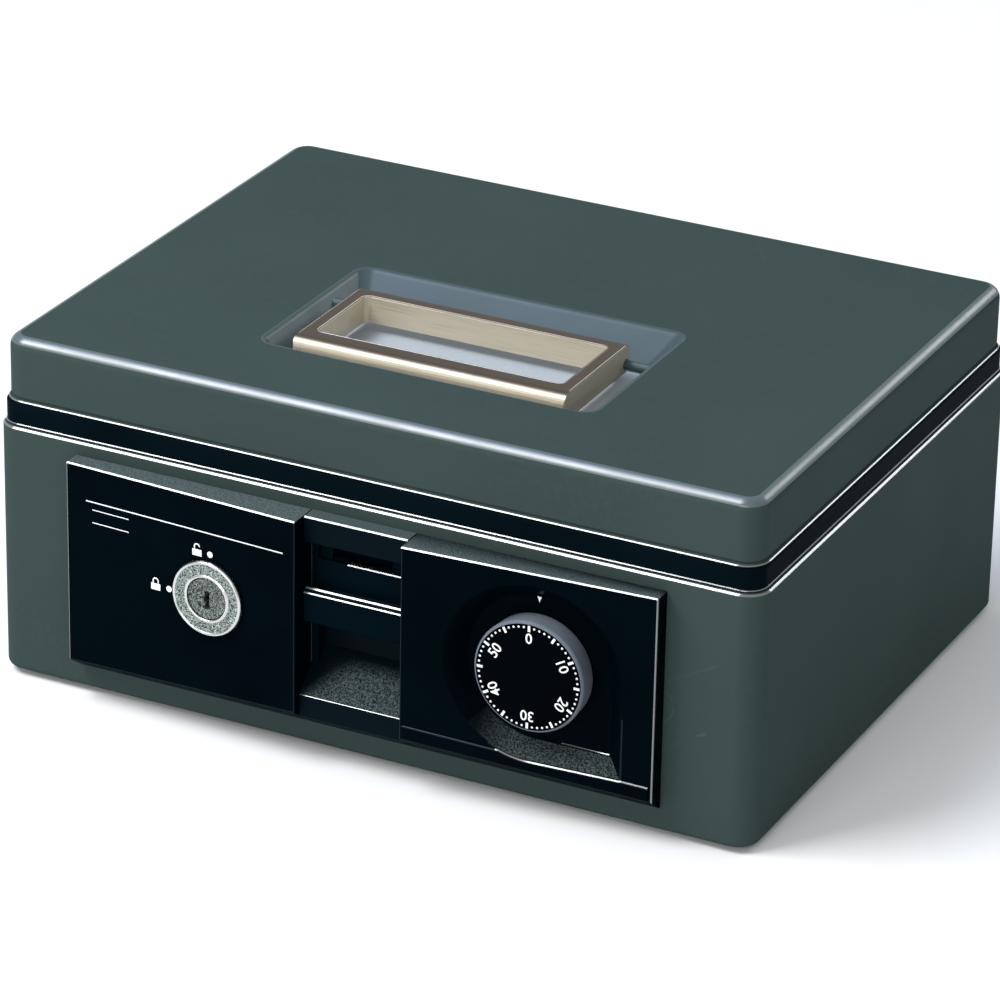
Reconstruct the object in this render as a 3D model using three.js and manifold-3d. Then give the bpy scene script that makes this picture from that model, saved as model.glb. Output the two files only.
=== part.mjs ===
// A hand-carried steel cash box with a key lock and a dial lock, in millimetres, +Z up, front towards -Y.
// The case group stands on its feet: inside it z = 0 is the underside of the tub and y = 0 its middle.
import * as THREE from "three";
import { mergeVertices, toCreasedNormals } from "three/addons/utils/BufferGeometryUtils.js";
import Module from "manifold-3d";

// ---- Driving dimensions ----
const WIDTH = 300;
const DEPTH = 226;
const TUB_TOP = 97.2;
const LID_BOTTOM = 106.3;
const LID_TOP = 130.5;
const CORNER = 8.8;
const SHEET = 1.2;
const FIT = 0.3; // the gap kept between pieces that touch
const FOOT_HEIGHT = 2;
const CASE_Y = 3.95; // centres the overall box, with the panel in front and the hinges behind, on the origin
const FLANGE = 10; // folded-in top edge of the tub
const LID_INSET = 2.4;
const FLARE = 0.9;
const LID_FILLET = 4.6;

// Front panel: two wedges, thin at the outer ends and thick beside the latch.
const PANEL_HALF = 115.75;
const COLUMN_HALF = 20.8;
const PANEL_BOTTOM = 9;
const PANEL_TOP = 92.3;
const PROUD_OUTER = 7.5;
const PROUD_INNER = 13;
const UNDERCUT = 0.7; // rise of the underside for each millimetre forward
const TILT = Math.atan((PROUD_INNER - PROUD_OUTER) / (PANEL_HALF - COLUMN_HALF));

const LOCK_HEIGHT = 54.3;
const KEY_X = -56.1;
const DIAL_X = 70.3;
const KEY_RING_RADIUS = 14.3;
const PLUG_RADIUS = 7.75;
const DIAL_RADIUS = 21;
const DIAL_PROUD = 13;
const RECESS_RADIUS = 33.3;
const RECESS_FLOOR = 3.5; // how proud of the tub the dial recess's floor lies
const RECESS_SLOPE = 6; // width of the recess's sloping wall

const LEVER_PIVOT = { proud: -0.8, z: 73.5 };
const LEVER_HALF = 19.3;
const LEVER_PIN_RADIUS = 1.2;
const WEB_HALF = 17;
const TAIL_X = 14;
const TAIL_HALF = 2.4;

const CASE_HALF = 98;
const CASE_BACK = -83; // rear face of the lock case
const CASE_BOTTOM = 11;
const CASE_TOP = 91;
const SCREW_X = 105;
const SCREW_HEIGHTS = [20, 80];

const HANDLE = { half: 53.65, front: -67.5, rear: -13.5, bottom: 123.2, top: 133.5 };
const HANDLE_AXIS = { y: -17.4, z: 126.3 };
const HANDLE_PIN_RADIUS = 1.8;
const RECESS_TOP = { half: 65, front: -69.5, rear: 8 };
const RECESS_BASE = { half: 57.5, front: -69, rear: -8, z: 119.5 };

const HINGE_AXIS = { y: DEPTH / 2 + 3.2, z: 101.7 };
const HINGE_X = 88;
const HINGE_HALF = 26;
const KNUCKLE_RADIUS = 2.6;
const HINGE_PIN_RADIUS = 1.2;

const TRAY = { half: 138, front: -81, rear: 101.5, bottom: 57.5, top: 95 };
const TRAY_WALL = 2;

const wasm = await Module();
wasm.setup();

// ---- Solids ----
function toSolid(geometry) {
  const bare = new THREE.BufferGeometry().setAttribute("position", geometry.getAttribute("position"));
  if (geometry.index) bare.setIndex(geometry.index);
  const merged = mergeVertices(bare, 1e-4);
  return new wasm.Manifold(
    new wasm.Mesh({
      numProp: 3,
      vertProperties: merged.attributes.position.array,
      triVerts: new Uint32Array(merged.index.array),
    }),
  );
}

function toGeometry(solid) {
  const mesh = solid.getMesh();
  const geometry = new THREE.BufferGeometry()
    .setAttribute("position", new THREE.BufferAttribute(mesh.vertProperties, 3))
    .setIndex(new THREE.BufferAttribute(mesh.triVerts, 1));
  return toCreasedNormals(geometry, Math.PI / 6);
}

function combine(verb, first, others) {
  const solid = others.reduce((made, other) => made[verb](toSolid(other)), toSolid(first));
  return toGeometry(solid);
}
const join = (first, ...others) => combine("add", first, others);
const cut = (first, ...others) => combine("subtract", first, others);
const meet = (first, ...others) => combine("intersect", first, others);

function block(x0, x1, y0, y1, z0, z1) {
  return new THREE.BoxGeometry(x1 - x0, y1 - y0, z1 - z0).translate(
    (x0 + x1) / 2,
    (y0 + y1) / 2,
    (z0 + z1) / 2,
  );
}

const X = new THREE.Vector3(1, 0, 0);
const Y = new THREE.Vector3(0, 1, 0);
const Z = new THREE.Vector3(0, 0, 1);
const BACKWARD = new THREE.Vector3(0, -1, 0);

function extrude(shape, depth, curveSegments = 8) {
  return new THREE.ExtrudeGeometry(shape, { depth, bevelEnabled: false, curveSegments });
}

const toShape = (points) => new THREE.Shape(points.map(([u, v]) => new THREE.Vector2(u, v)));

// A shape drawn in y and z, carried along x.
function alongX(shape, x0, x1) {
  return extrude(shape, x1 - x0)
    .applyMatrix4(new THREE.Matrix4().makeBasis(Y, Z, X))
    .translate(x0, 0, 0);
}

// A shape drawn in x and z, carried along y.
function alongY(shape, y0, y1, curveSegments) {
  return extrude(shape, y1 - y0, curveSegments)
    .applyMatrix4(new THREE.Matrix4().makeBasis(X, Z, BACKWARD))
    .translate(0, y1, 0);
}

// A profile of [radius, distance] turned about the y axis.
function turned(profile, segments = 32) {
  const area = profile.reduce((sum, [r, y], i) => {
    const [nextR, nextY] = profile[(i + 1) % profile.length];
    return sum + r * nextY - nextR * y;
  }, 0);
  const ordered = area > 0 ? profile : [...profile].reverse();
  return new THREE.LatheGeometry(ordered.map(([r, y]) => new THREE.Vector2(r, y)), segments);
}

const bar = (radius, y0, y1, segments = 24) =>
  turned([[0, y0], [radius, y0], [radius, y1], [0, y1]], segments);

const tube = (inner, outer, y0, y1, segments = 24) =>
  turned([[inner, y0], [outer, y0], [outer, y1], [inner, y1], [inner, y0]], segments);

const barAlongX = (radius, x0, x1, y, z, segments = 20) =>
  bar(radius, -x1, -x0, segments).rotateZ(Math.PI / 2).translate(0, y, z);

// The outline of a rounded rectangle at one height, anticlockwise from above.
function ring(x0, x1, y0, y1, radius, z, steps = 6) {
  const corners = [
    [x1 - radius, y0 + radius, -Math.PI / 2],
    [x1 - radius, y1 - radius, 0],
    [x0 + radius, y1 - radius, Math.PI / 2],
    [x0 + radius, y0 + radius, Math.PI],
  ];
  const points = [];
  for (const [cx, cy, start] of corners) {
    for (let i = 0; i <= steps; i += 1) {
      const angle = start + (i / steps) * (Math.PI / 2);
      points.push(new THREE.Vector3(cx + radius * Math.cos(angle), cy + radius * Math.sin(angle), z));
    }
  }
  return points;
}

// Joins rings of equally many points into one closed solid, with a flat cap at each end.
function loft(rings) {
  const count = rings[0].length;
  const index = [];
  for (let level = 0; level + 1 < rings.length; level += 1) {
    for (let i = 0; i < count; i += 1) {
      const a = level * count + i;
      const b = level * count + ((i + 1) % count);
      index.push(a, b, b + count, a, b + count, a + count);
    }
  }
  for (let i = 1; i + 1 < count; i += 1) {
    const top = (rings.length - 1) * count;
    index.push(0, i + 1, i, top, top + i, top + i + 1);
  }
  const positions = rings.flat().flatMap((p) => [p.x, p.y, p.z]);
  return new THREE.BufferGeometry()
    .setAttribute("position", new THREE.Float32BufferAttribute(positions, 3))
    .setIndex(index);
}

// A rounded box whose outline is offset outwards by a given amount at each height.
function stack(halfWidth, halfDepth, radius, levels, steps) {
  return loft(
    levels.map(([z, out]) =>
      ring(-halfWidth - out, halfWidth + out, -halfDepth - out, halfDepth + out, radius + out, z, steps),
    ),
  );
}

function coil(radius, wire, pitch, turns) {
  const points = [];
  const stepsPerTurn = 10;
  for (let i = 0; i <= turns * stepsPerTurn; i += 1) {
    const angle = (i / stepsPerTurn) * 2 * Math.PI;
    points.push(
      new THREE.Vector3(radius * Math.cos(angle), (pitch * i) / stepsPerTurn, radius * Math.sin(angle)),
    );
  }
  const section = new THREE.Shape().absarc(0, 0, wire / 2, 0, 2 * Math.PI);
  return new THREE.ExtrudeGeometry(section, {
    extrudePath: new THREE.CatmullRomCurve3(points),
    steps: points.length - 1,
    curveSegments: 3,
    bevelEnabled: false,
  });
}

// ---- Places on the front ----
const front = (proud) => -(DEPTH / 2 + proud); // y of a point that stands proud of the tub's front wall
const wedge = (x) =>
  PROUD_OUTER + ((PROUD_INNER - PROUD_OUTER) * (PANEL_HALF - Math.abs(x))) / (PANEL_HALF - COLUMN_HALF);

// ---- Materials ----
const finish = (color, roughness, metalness) => () =>
  new THREE.MeshStandardMaterial({ color, roughness, metalness });
const paint = finish(0x475a56, 0.4, 0.2);
const glossBlack = finish(0x0a0f12, 0.15, 0);
const satinBlack = finish(0x161c1d, 0.45, 0);
const brushedBrass = finish(0xb8a888, 0.3, 1);
const brightSteel = finish(0xc4c4c0, 0.3, 1);
const zincSteel = finish(0x9aa09c, 0.45, 0.9);
const brass = finish(0xc2a05a, 0.35, 1);
const rubber = finish(0x202020, 0.9, 0);
const trayPlastic = finish(0x3a4244, 0.5, 0);
const felt = finish(0x2c3330, 0.95, 0);

const box = new THREE.Group();
const caseGroup = new THREE.Group();
caseGroup.position.set(0, CASE_Y, FOOT_HEIGHT);
box.add(caseGroup);

function place(name, geometry, material, x = 0, y = 0, z = 0, parent = caseGroup) {
  const mesh = new THREE.Mesh(geometry, material());
  mesh.name = name;
  mesh.position.set(x, y, z);
  parent.add(mesh);
  return mesh;
}

// ---- Tub ----
const FOOT_X = 128;
const FOOT_Y = 92;
const FOOT_STEM = 2.4;

function footHole(x, y) {
  return bar(FOOT_STEM + FIT, -1, SHEET + 1, 16).rotateX(Math.PI / 2).translate(x, y, 0);
}

function makeTub() {
  const halfWidth = WIDTH / 2;
  const halfDepth = DEPTH / 2;
  const outside = stack(halfWidth, halfDepth, CORNER, [
    [0, -2],
    [0.6, -0.6],
    [2, 0],
    [TUB_TOP - 0.7, 0],
    [TUB_TOP, -0.7],
  ]);
  const inside = stack(halfWidth, halfDepth, CORNER, [
    [SHEET, -SHEET - 2],
    [SHEET + 2, -SHEET],
    [TUB_TOP - SHEET, -SHEET],
  ]);
  const mouth = stack(halfWidth - FLANGE, halfDepth - FLANGE, 4, [
    [TUB_TOP - 2 * SHEET, 0],
    [TUB_TOP + 1, 0],
  ]);
  const strikeNotch = block(-13, 13, -108, -100, TUB_TOP - 2 * SHEET, TUB_TOP + 1);
  const latchHole = block(-19.5, 19.5, front(1), front(-SHEET - 1), 23.5, 90.5);
  const keyHole = bar(10.4, front(1), front(-SHEET - 1)).translate(KEY_X, 0, LOCK_HEIGHT);
  const dialHole = bar(4.2, front(1), front(-SHEET - 1)).translate(DIAL_X, 0, LOCK_HEIGHT);
  const holes = [strikeNotch, latchHole, keyHole, dialHole];
  for (const side of [-1, 1]) {
    for (const z of SCREW_HEIGHTS) {
      holes.push(bar(1.9, front(1), front(-SHEET - 1), 12).translate(side * SCREW_X, 0, z));
    }
    for (const end of [-1, 1]) holes.push(footHole(side * FOOT_X, end * FOOT_Y));
  }
  place("body_shell", cut(outside, inside, mouth, ...holes), paint);

  const foot = turned([
    [0, -FOOT_HEIGHT],
    [6.4, -FOOT_HEIGHT],
    [7, -FOOT_HEIGHT + 0.6],
    [7, -FIT],
    [FOOT_STEM, -FIT],
    [FOOT_STEM, SHEET],
    [0, SHEET],
  ], 20).rotateX(Math.PI / 2);
  let number = 1;
  for (const x of [-FOOT_X, FOOT_X]) {
    for (const y of [-FOOT_Y, FOOT_Y]) {
      place("foot_" + number, foot.clone(), rubber, x, y, 0);
      number += 1;
    }
  }

  place(
    "floor_mat",
    loft([1.5, 3].map((z) => ring(-145, 145, -80, 108, 8, z, 4))),
    felt,
  );
}

// Black frame on the tub's folded edge: an upright outer wall on a flat foot.
function makeRimFrame() {
  const inset = 1.1;
  const wall = 2.4;
  const halfWidth = WIDTH / 2 - inset;
  const halfDepth = DEPTH / 2 - inset;
  const bottom = TUB_TOP + FIT;
  const outside = stack(halfWidth, halfDepth, CORNER - inset, [
    [bottom, -0.5],
    [bottom + 0.5, 0],
    [LID_BOTTOM - FIT - 0.5, 0],
    [LID_BOTTOM - FIT, -0.5],
  ]);
  const hollow = stack(halfWidth, halfDepth, CORNER - inset, [
    [bottom + 2.2, -wall],
    [LID_BOTTOM, -wall],
  ]);
  const mouth = stack(WIDTH / 2 - FLANGE, DEPTH / 2 - FLANGE, 4, [
    [bottom - 1, 0],
    [bottom + 4, 0],
  ]);
  const strikeNotch = block(-13, 13, -108, -100, bottom - 1, bottom + 4);
  place("rim_frame", cut(outside, hollow, mouth, strikeNotch), glossBlack);
}

// ---- Front panel ----
// The wedge on one side, side = -1 or 1, grown forwards by extra.
function wedgeSolid(side, top, extra = 0) {
  const inner = side * COLUMN_HALF;
  const outer = side * PANEL_HALF;
  const plan = toShape([
    [inner, front(FIT)],
    [outer, front(FIT)],
    [outer, front(PROUD_OUTER + extra)],
    [inner, front(PROUD_INNER + extra)],
  ]);
  const solid = extrude(plan, top - PANEL_BOTTOM).translate(0, 0, PANEL_BOTTOM);
  return cut(solid, undercut());
}

// What the sloping underside of the panel takes away.
function undercut() {
  const far = PROUD_INNER + 5;
  return alongX(
    toShape([
      [front(-1), PANEL_BOTTOM - UNDERCUT],
      [front(-1), PANEL_BOTTOM - 3],
      [front(far), PANEL_BOTTOM - 3],
      [front(far), PANEL_BOTTOM + UNDERCUT * far],
    ]),
    -PANEL_HALF - 1,
    PANEL_HALF + 1,
  );
}

const screwBores = (side) =>
  SCREW_HEIGHTS.map((z) => bar(1.8, front(5.6), front(0), 12).translate(side * SCREW_X, 0, z));

function makeKeySide() {
  const bore = bar(9.9, -30, 30).rotateZ(-TILT).translate(KEY_X, front(wedge(KEY_X)), LOCK_HEIGHT);
  const pockets = [
    block(-98, -72, front(wedge(98) - 2.4), front(0), 15, 88),
    block(-41, -23, front(wedge(41) - 2.4), front(0), 17, 88),
  ];
  place("panel_key_side", cut(wedgeSolid(-1, PANEL_TOP), bore, ...pockets, ...screwBores(-1)), glossBlack);
}

// The dial recess's outline: round at the top and left, square at its lower right corner.
function recessRing(radius, placeAt) {
  const points = [];
  const steps = 30;
  for (let i = 0; i <= steps; i += 1) {
    const angle = (i / steps) * 1.5 * Math.PI;
    points.push(placeAt(DIAL_X + radius * Math.cos(angle), LOCK_HEIGHT + radius * Math.sin(angle)));
  }
  points.push(placeAt(DIAL_X + radius, LOCK_HEIGHT - radius));
  return points;
}

function makeDialSide() {
  const lipTop = (x) => PANEL_BOTTOM + 5.6 + 0.74 * wedge(x);
  const lipFace = toShape([
    [COLUMN_HALF - 1, PANEL_BOTTOM - 1],
    [PANEL_HALF + 1, PANEL_BOTTOM - 1],
    [PANEL_HALF + 1, lipTop(PANEL_HALF)],
    [COLUMN_HALF - 1, lipTop(COLUMN_HALF)],
  ]);
  const lip = meet(wedgeSolid(1, 30, 0.6), alongY(lipFace, front(20), front(-1)));
  const floorRing = recessRing(RECESS_RADIUS - RECESS_SLOPE, (x, z) => new THREE.Vector3(x, front(RECESS_FLOOR), z));
  const faceRing = recessRing(RECESS_RADIUS, (x, z) => new THREE.Vector3(x, front(wedge(x)), z));
  const beyond = floorRing.map((p, i) => p.clone().lerp(faceRing[i], 1.6));
  const recess = loft([floorRing, beyond]);
  const spindleHole = bar(4.2, front(20), front(0)).translate(DIAL_X, 0, LOCK_HEIGHT);
  const pocket = block(23, 32, front(wedge(32) - 2.4), front(0), 17, 88);
  const panel = join(wedgeSolid(1, PANEL_TOP), lip);
  place("panel_dial_side", cut(panel, recess, spindleHole, pocket, ...screwBores(1)), glossBlack);
}

// ---- Latch: housing, pull lever, pin, spring and slide ----
const HOUSING_HALF = COLUMN_HALF - 0.5;
const POCKET_HALF = 17.6;
const SILL = { proud: 9.8, z: 24.5 };
const POCKET_BACK = -4.5;

function makeLatchHousing() {
  const facing = cut(
    alongX(
      toShape([
        [front(FIT), PANEL_BOTTOM],
        [front(SILL.proud), PANEL_BOTTOM],
        [front(SILL.proud), SILL.z],
        [front(6.9), 80],
        [front(6.9), PANEL_TOP],
        [front(FIT), PANEL_TOP],
      ]),
      -HOUSING_HALF,
      HOUSING_HALF,
    ),
    undercut(),
  );
  const boxPart = block(-19, 19, front(0.5), front(-6), 24, 90);
  // The scoop: the sloping floor at the bottom and a space behind the top block for the lever's tails.
  const slopeEnd = SILL.z + SILL.proud - POCKET_BACK;
  const scoop = [
    [front(SILL.proud + 5), SILL.z - 5],
    [front(POCKET_BACK), slopeEnd],
    [front(POCKET_BACK), 88.5],
    [front(3.2), 88.5],
    [front(3.2), 82.8],
    [front(15), 82.8],
  ];
  const scoopBehind = alongX(toShape(scoop), -POCKET_HALF, POCKET_HALF);
  const frontHalf = block(-30, 30, front(20), front(0.8), 0, 120);
  const scoopAcross = meet(alongX(toShape(scoop), -HOUSING_HALF - 1, HOUSING_HALF + 1), frontHalf);
  const body = cut(join(facing, boxPart), scoopBehind, scoopAcross);
  const pinBore = barAlongX(LEVER_PIN_RADIUS + FIT, -19.2, 19.2, front(LEVER_PIVOT.proud), LEVER_PIVOT.z);
  const tailSlots = [-TAIL_X, TAIL_X].map((x) => block(x - 3.4, x + 3.4, front(-4), front(-7), 75.5, 87.5));
  place("latch_housing", cut(body, pinBore, ...tailSlots), satinBlack);
}

function makeLatchLever() {
  const pivot = LEVER_PIVOT;
  const web = alongX(
    toShape([
      [front(0.2), 75.5],
      [front(0.2), 60],
      [front(5.9), 60],
      [front(5.9), 58.5],
      [front(8.7), 57],
      [front(8.7), 64.6],
      [front(8.2), 65.1],
      [front(4.4), 63.6],
      [front(3.2), 64.6],
      [front(3.2), 75.5],
    ]),
    -WEB_HALF,
    WEB_HALF,
  );
  const pullBar = alongX(
    toShape([
      [front(5.9), 63.6],
      [front(5.9), 53.1],
      [front(6.4), 52.6],
      [front(8.2), 52.6],
      [front(8.7), 53.1],
      [front(8.7), 64.6],
      [front(8.2), 65.1],
      [front(6.4), 65.1],
    ]),
    -LEVER_HALF,
    LEVER_HALF,
  );
  const hub = barAlongX(2.8, -WEB_HALF, WEB_HALF, front(pivot.proud), pivot.z);
  const tails = [-TAIL_X, TAIL_X].map((x) =>
    alongX(
      toShape([
        [front(-1), 72],
        [front(2.6), 74],
        [front(-0.6), 84.5],
        [front(-3.2), 84.5],
        [front(-3.2), 79],
      ]),
      x - TAIL_HALF,
      x + TAIL_HALF,
    ),
  );
  const springGap = block(-5.4, 5.4, front(1.9), front(-4), 70, 77);
  const bore = barAlongX(LEVER_PIN_RADIUS + FIT, -30, 30, front(pivot.proud), pivot.z);
  place("latch_lever", cut(join(web, pullBar, hub, ...tails), springGap, bore), satinBlack);
  const pin = bar(LEVER_PIN_RADIUS, -18.9, 18.9, 16).rotateZ(Math.PI / 2);
  place("latch_pivot_pin", pin, zincSteel, 0, front(pivot.proud), pivot.z);
  const spring = coil(1.95, 0.6, 1.15, 7).rotateZ(Math.PI / 2);
  place("latch_lever_spring", spring, brightSteel, 4.1, front(pivot.proud), pivot.z);
}

const SLIDE = { front: -97, back: -93.5, bottom: 79, top: 87 };

function makeLatchSlide() {
  const crossbar = block(-34, 28, SLIDE.front, SLIDE.back, SLIDE.bottom, SLIDE.top);
  const nose = alongX(
    toShape([
      [-99.1, 79.6],
      [SLIDE.front + 1, 79.6],
      [SLIDE.front + 1, 86.4],
      [-98, 86.4],
      [-99.1, 84.4],
    ]),
    -4,
    4,
  );
  // Each arm ends in a fork over one tail of the lever, which pushes it back and draws it forward.
  const arms = [-TAIL_X, TAIL_X].map((x) =>
    alongX(
      toShape([
        [SLIDE.front + 1, 80.5],
        [SLIDE.front + 1, 86.8],
        [front(2.3), 86.8],
        [front(2.3), 81],
        [front(1.3), 81],
        [front(1.3), 85.2],
        [front(-3.9), 85.2],
        [front(-3.9), 80.5],
      ]),
      x - TAIL_HALF,
      x + TAIL_HALF,
    ),
  );
  const leg = block(-34, -30, SLIDE.front, SLIDE.back, 50, SLIDE.top);
  place("latch_slide", join(crossbar, nose, ...arms, leg), zincSteel);
}

// ---- Lock case and its screws ----
function makeLockCase() {
  const wall = 1;
  const mouth = front(-SHEET - FIT);
  const outer = block(-CASE_HALF, CASE_HALF, mouth, CASE_BACK, CASE_BOTTOM, CASE_TOP);
  const inner = block(
    -CASE_HALF + wall,
    CASE_HALF - wall,
    mouth - 1,
    CASE_BACK - wall,
    CASE_BOTTOM + wall,
    CASE_TOP - wall,
  );
  const ears = [-1, 1].map((side) =>
    block(
      side > 0 ? CASE_HALF - wall : -SCREW_X - 6,
      side > 0 ? SCREW_X + 6 : -CASE_HALF + wall,
      mouth,
      mouth + wall,
      14,
      86,
    ),
  );
  const strikeSlot = block(-10, 10, -106, -95, CASE_TOP - 3, CASE_TOP + 1);
  const screwHoles = [];
  for (const side of [-1, 1]) {
    for (const z of SCREW_HEIGHTS) {
      screwHoles.push(bar(1.9, mouth - 1, mouth + wall + 1, 12).translate(side * SCREW_X, 0, z));
    }
  }
  place("lock_case", cut(join(cut(outer, inner), ...ears), strikeSlot, ...screwHoles), zincSteel);

  const headSeat = mouth + wall + FIT;
  const screw = join(
    bar(1.5, front(5), headSeat + 0.5, 12),
    turned([[0, headSeat], [3.4, headSeat], [3.4, headSeat + 0.9], [2.4, headSeat + 2], [0, headSeat + 2]], 16),
  );
  const slot = block(-4, 4, headSeat + 1.3, headSeat + 3, -0.4, 0.4);
  let number = 1;
  for (const side of [-1, 1]) {
    for (const z of SCREW_HEIGHTS) {
      place("case_screw_" + number, cut(screw, slot), zincSteel, side * SCREW_X, 0, z);
      number += 1;
    }
  }
}

// ---- Key lock, square to the sloping face of its wedge ----
function makeKeyLock() {
  const lock = new THREE.Group();
  lock.position.set(KEY_X, front(wedge(KEY_X)), LOCK_HEIGHT);
  lock.rotation.z = -TILT;
  caseGroup.add(lock);
  const bore = PLUG_RADIUS + FIT;
  const ringRadius = KEY_RING_RADIUS;
  const cylinder = turned([
    [bore, -1.5],
    [bore + 0.5, -2],
    [ringRadius - 1.2, -2],
    [ringRadius, -1.1],
    [ringRadius, -FIT],
    [9.6, -FIT],
    [9.6, 20],
    [bore, 20],
    [bore, -1.5],
  ], 48);
  place("key_cylinder", cylinder, brightSteel, 0, 0, 0, lock);

  const keyway = join(block(-0.9, 0.9, -3, 15, -4.2, 2.6), block(-1.5, 0.9, -3, 15, -1.6, 0.2));
  const dish = turned([[0, -2], [5.2, -2], [4.4, -1], [0, -1]], 32);
  const plugBody = join(bar(PLUG_RADIUS, -1.4, 20.5, 40), block(-2.5, 2.5, 20, 33.5, -2.5, 2.5));
  const screwBore = bar(1.5, 25, 34, 12);
  place("key_plug", cut(plugBody, keyway, dish, screwBore), brightSteel, 0, 0, 0, lock);

  const hexagon = toShape(
    Array.from({ length: 6 }, (_, i) => [13 * Math.cos((i * Math.PI) / 3), 13 * Math.sin((i * Math.PI) / 3)]),
  );
  const nut = cut(alongY(hexagon, 13.4, 16.4), bar(9.9, 12, 18, 32));
  place("key_cylinder_nut", nut, brass, 0, 0, 0, lock);

  const camLength = 19;
  const camArm = block(-4, 4, 31, 33, -camLength, 0);
  const cam = cut(join(camArm, bar(6, 31, 33, 24)), block(-2.8, 2.8, 30, 34, -2.8, 2.8));
  place("key_cam", cam, zincSteel, 0, 0, 0, lock);
  const camScrew = join(bar(1.2, 26, 34.5, 12), turned([[0, 33.8], [4, 33.8], [3.4, 35.6], [0, 35.6]], 16));
  place("key_cam_screw", camScrew, zincSteel, 0, 0, 0, lock);
}

// ---- Dial lock ----
const WHEEL_RADIUS = 16;
const WHEEL_THICKNESS = 2.2;
const SPINDLE_RADIUS = 2.9;

// A wheel with its gate in the rim and a small drive lug on its front face.
function wheelSolid(bore, gateAngle) {
  const disc = tube(bore, WHEEL_RADIUS, 0, WHEEL_THICKNESS, 40);
  const gate = block(-1.8, 1.8, -1, WHEEL_THICKNESS + 1, WHEEL_RADIUS - 4, WHEEL_RADIUS + 1);
  const lug = block(-1.2, 1.2, -0.8, 0.5, 8.6, 10.6);
  return join(cut(disc, gate), lug).rotateY(gateAngle);
}

function makeDialLock() {
  const back = front(RECESS_FLOOR + 0.4);
  const face = front(DIAL_PROUD);
  const edge = 0.7;
  const knob = cut(
    turned([
      [0, face],
      [DIAL_RADIUS - edge, face],
      [DIAL_RADIUS, face + edge],
      [DIAL_RADIUS + 0.5, back - edge],
      [DIAL_RADIUS, back],
      [0, back],
    ], 64),
    tube(7, DIAL_RADIUS - 2.5, face + 3, back + 1, 40),
    bar(SPINDLE_RADIUS + FIT, face + 2, back + 1),
  );
  place("dial_knob", knob, satinBlack, DIAL_X, 0, LOCK_HEIGHT);
  place("dial_spindle", bar(SPINDLE_RADIUS, face + 2.3, front(-18.6)), zincSteel, DIAL_X, 0, LOCK_HEIGHT);

  const flangeFront = front(-SHEET - FIT);
  const post = turned([
    [SPINDLE_RADIUS + 0.4, flangeFront],
    [9, flangeFront],
    [9, flangeFront + 1.4],
    [5, flangeFront + 1.4],
    [5, front(-14)],
    [SPINDLE_RADIUS + 0.4, front(-14)],
    [SPINDLE_RADIUS + 0.4, flangeFront],
  ], 24);
  place("wheel_post", post, brass, DIAL_X, 0, LOCK_HEIGHT);
  place("tumbler_wheel_1", wheelSolid(5.3, 0.9), brass, DIAL_X, front(-4.4), LOCK_HEIGHT);
  place("tumbler_wheel_2", wheelSolid(5.3, -1.3), brass, DIAL_X, front(-8.6), LOCK_HEIGHT);
  place("drive_wheel", wheelSolid(SPINDLE_RADIUS + FIT, 2.2), brass, DIAL_X, front(-15.2), LOCK_HEIGHT);

  const studX = 36;
  const studZ = 81;
  const arm = alongY(
    toShape([
      [studX - 5, studZ - 5],
      [studX + 6, studZ - 6],
      [DIAL_X + 16, 73.2],
      [DIAL_X + 16, 77.5],
      [studX, studZ + 5],
      [studX - 5, studZ + 3],
    ]),
    front(-11.4),
    front(-13.2),
  );
  const fence = block(DIAL_X - 1.5, DIAL_X + 1.5, front(-4.2), front(-17.6), 71.6, 76);
  const studBore = bar(2.4, front(-11), front(-14), 16).translate(studX, 0, studZ);
  place("fence_lever", cut(join(arm, fence), studBore), zincSteel);
  const stud = turned([
    [0, front(-SHEET - FIT)],
    [4, front(-SHEET - FIT)],
    [4, front(-10.9)],
    [2.1, front(-10.9)],
    [2.1, front(-14.6)],
    [0, front(-14.6)],
  ], 16);
  place("fence_stud", stud, zincSteel, studX, 0, studZ);
}

// ---- Lid, handle and strike ----
function recessSolid(out, floorZ, topZ) {
  const rise = (topZ - RECESS_BASE.z) / (LID_TOP - RECESS_BASE.z);
  const drop = (floorZ - RECESS_BASE.z) / (LID_TOP - RECESS_BASE.z);
  const at = (t, z) => {
    const mix = (a, b) => a + (b - a) * t;
    const half = mix(RECESS_BASE.half, RECESS_TOP.half) + out;
    const near = mix(RECESS_BASE.front, RECESS_TOP.front) - out;
    const far = mix(RECESS_BASE.rear, RECESS_TOP.rear) + out;
    return ring(-half, half, near, far, 3 + out + 1.5 * t, z, 4);
  };
  return loft([at(drop, floorZ), at(rise, topZ)]);
}

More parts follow.
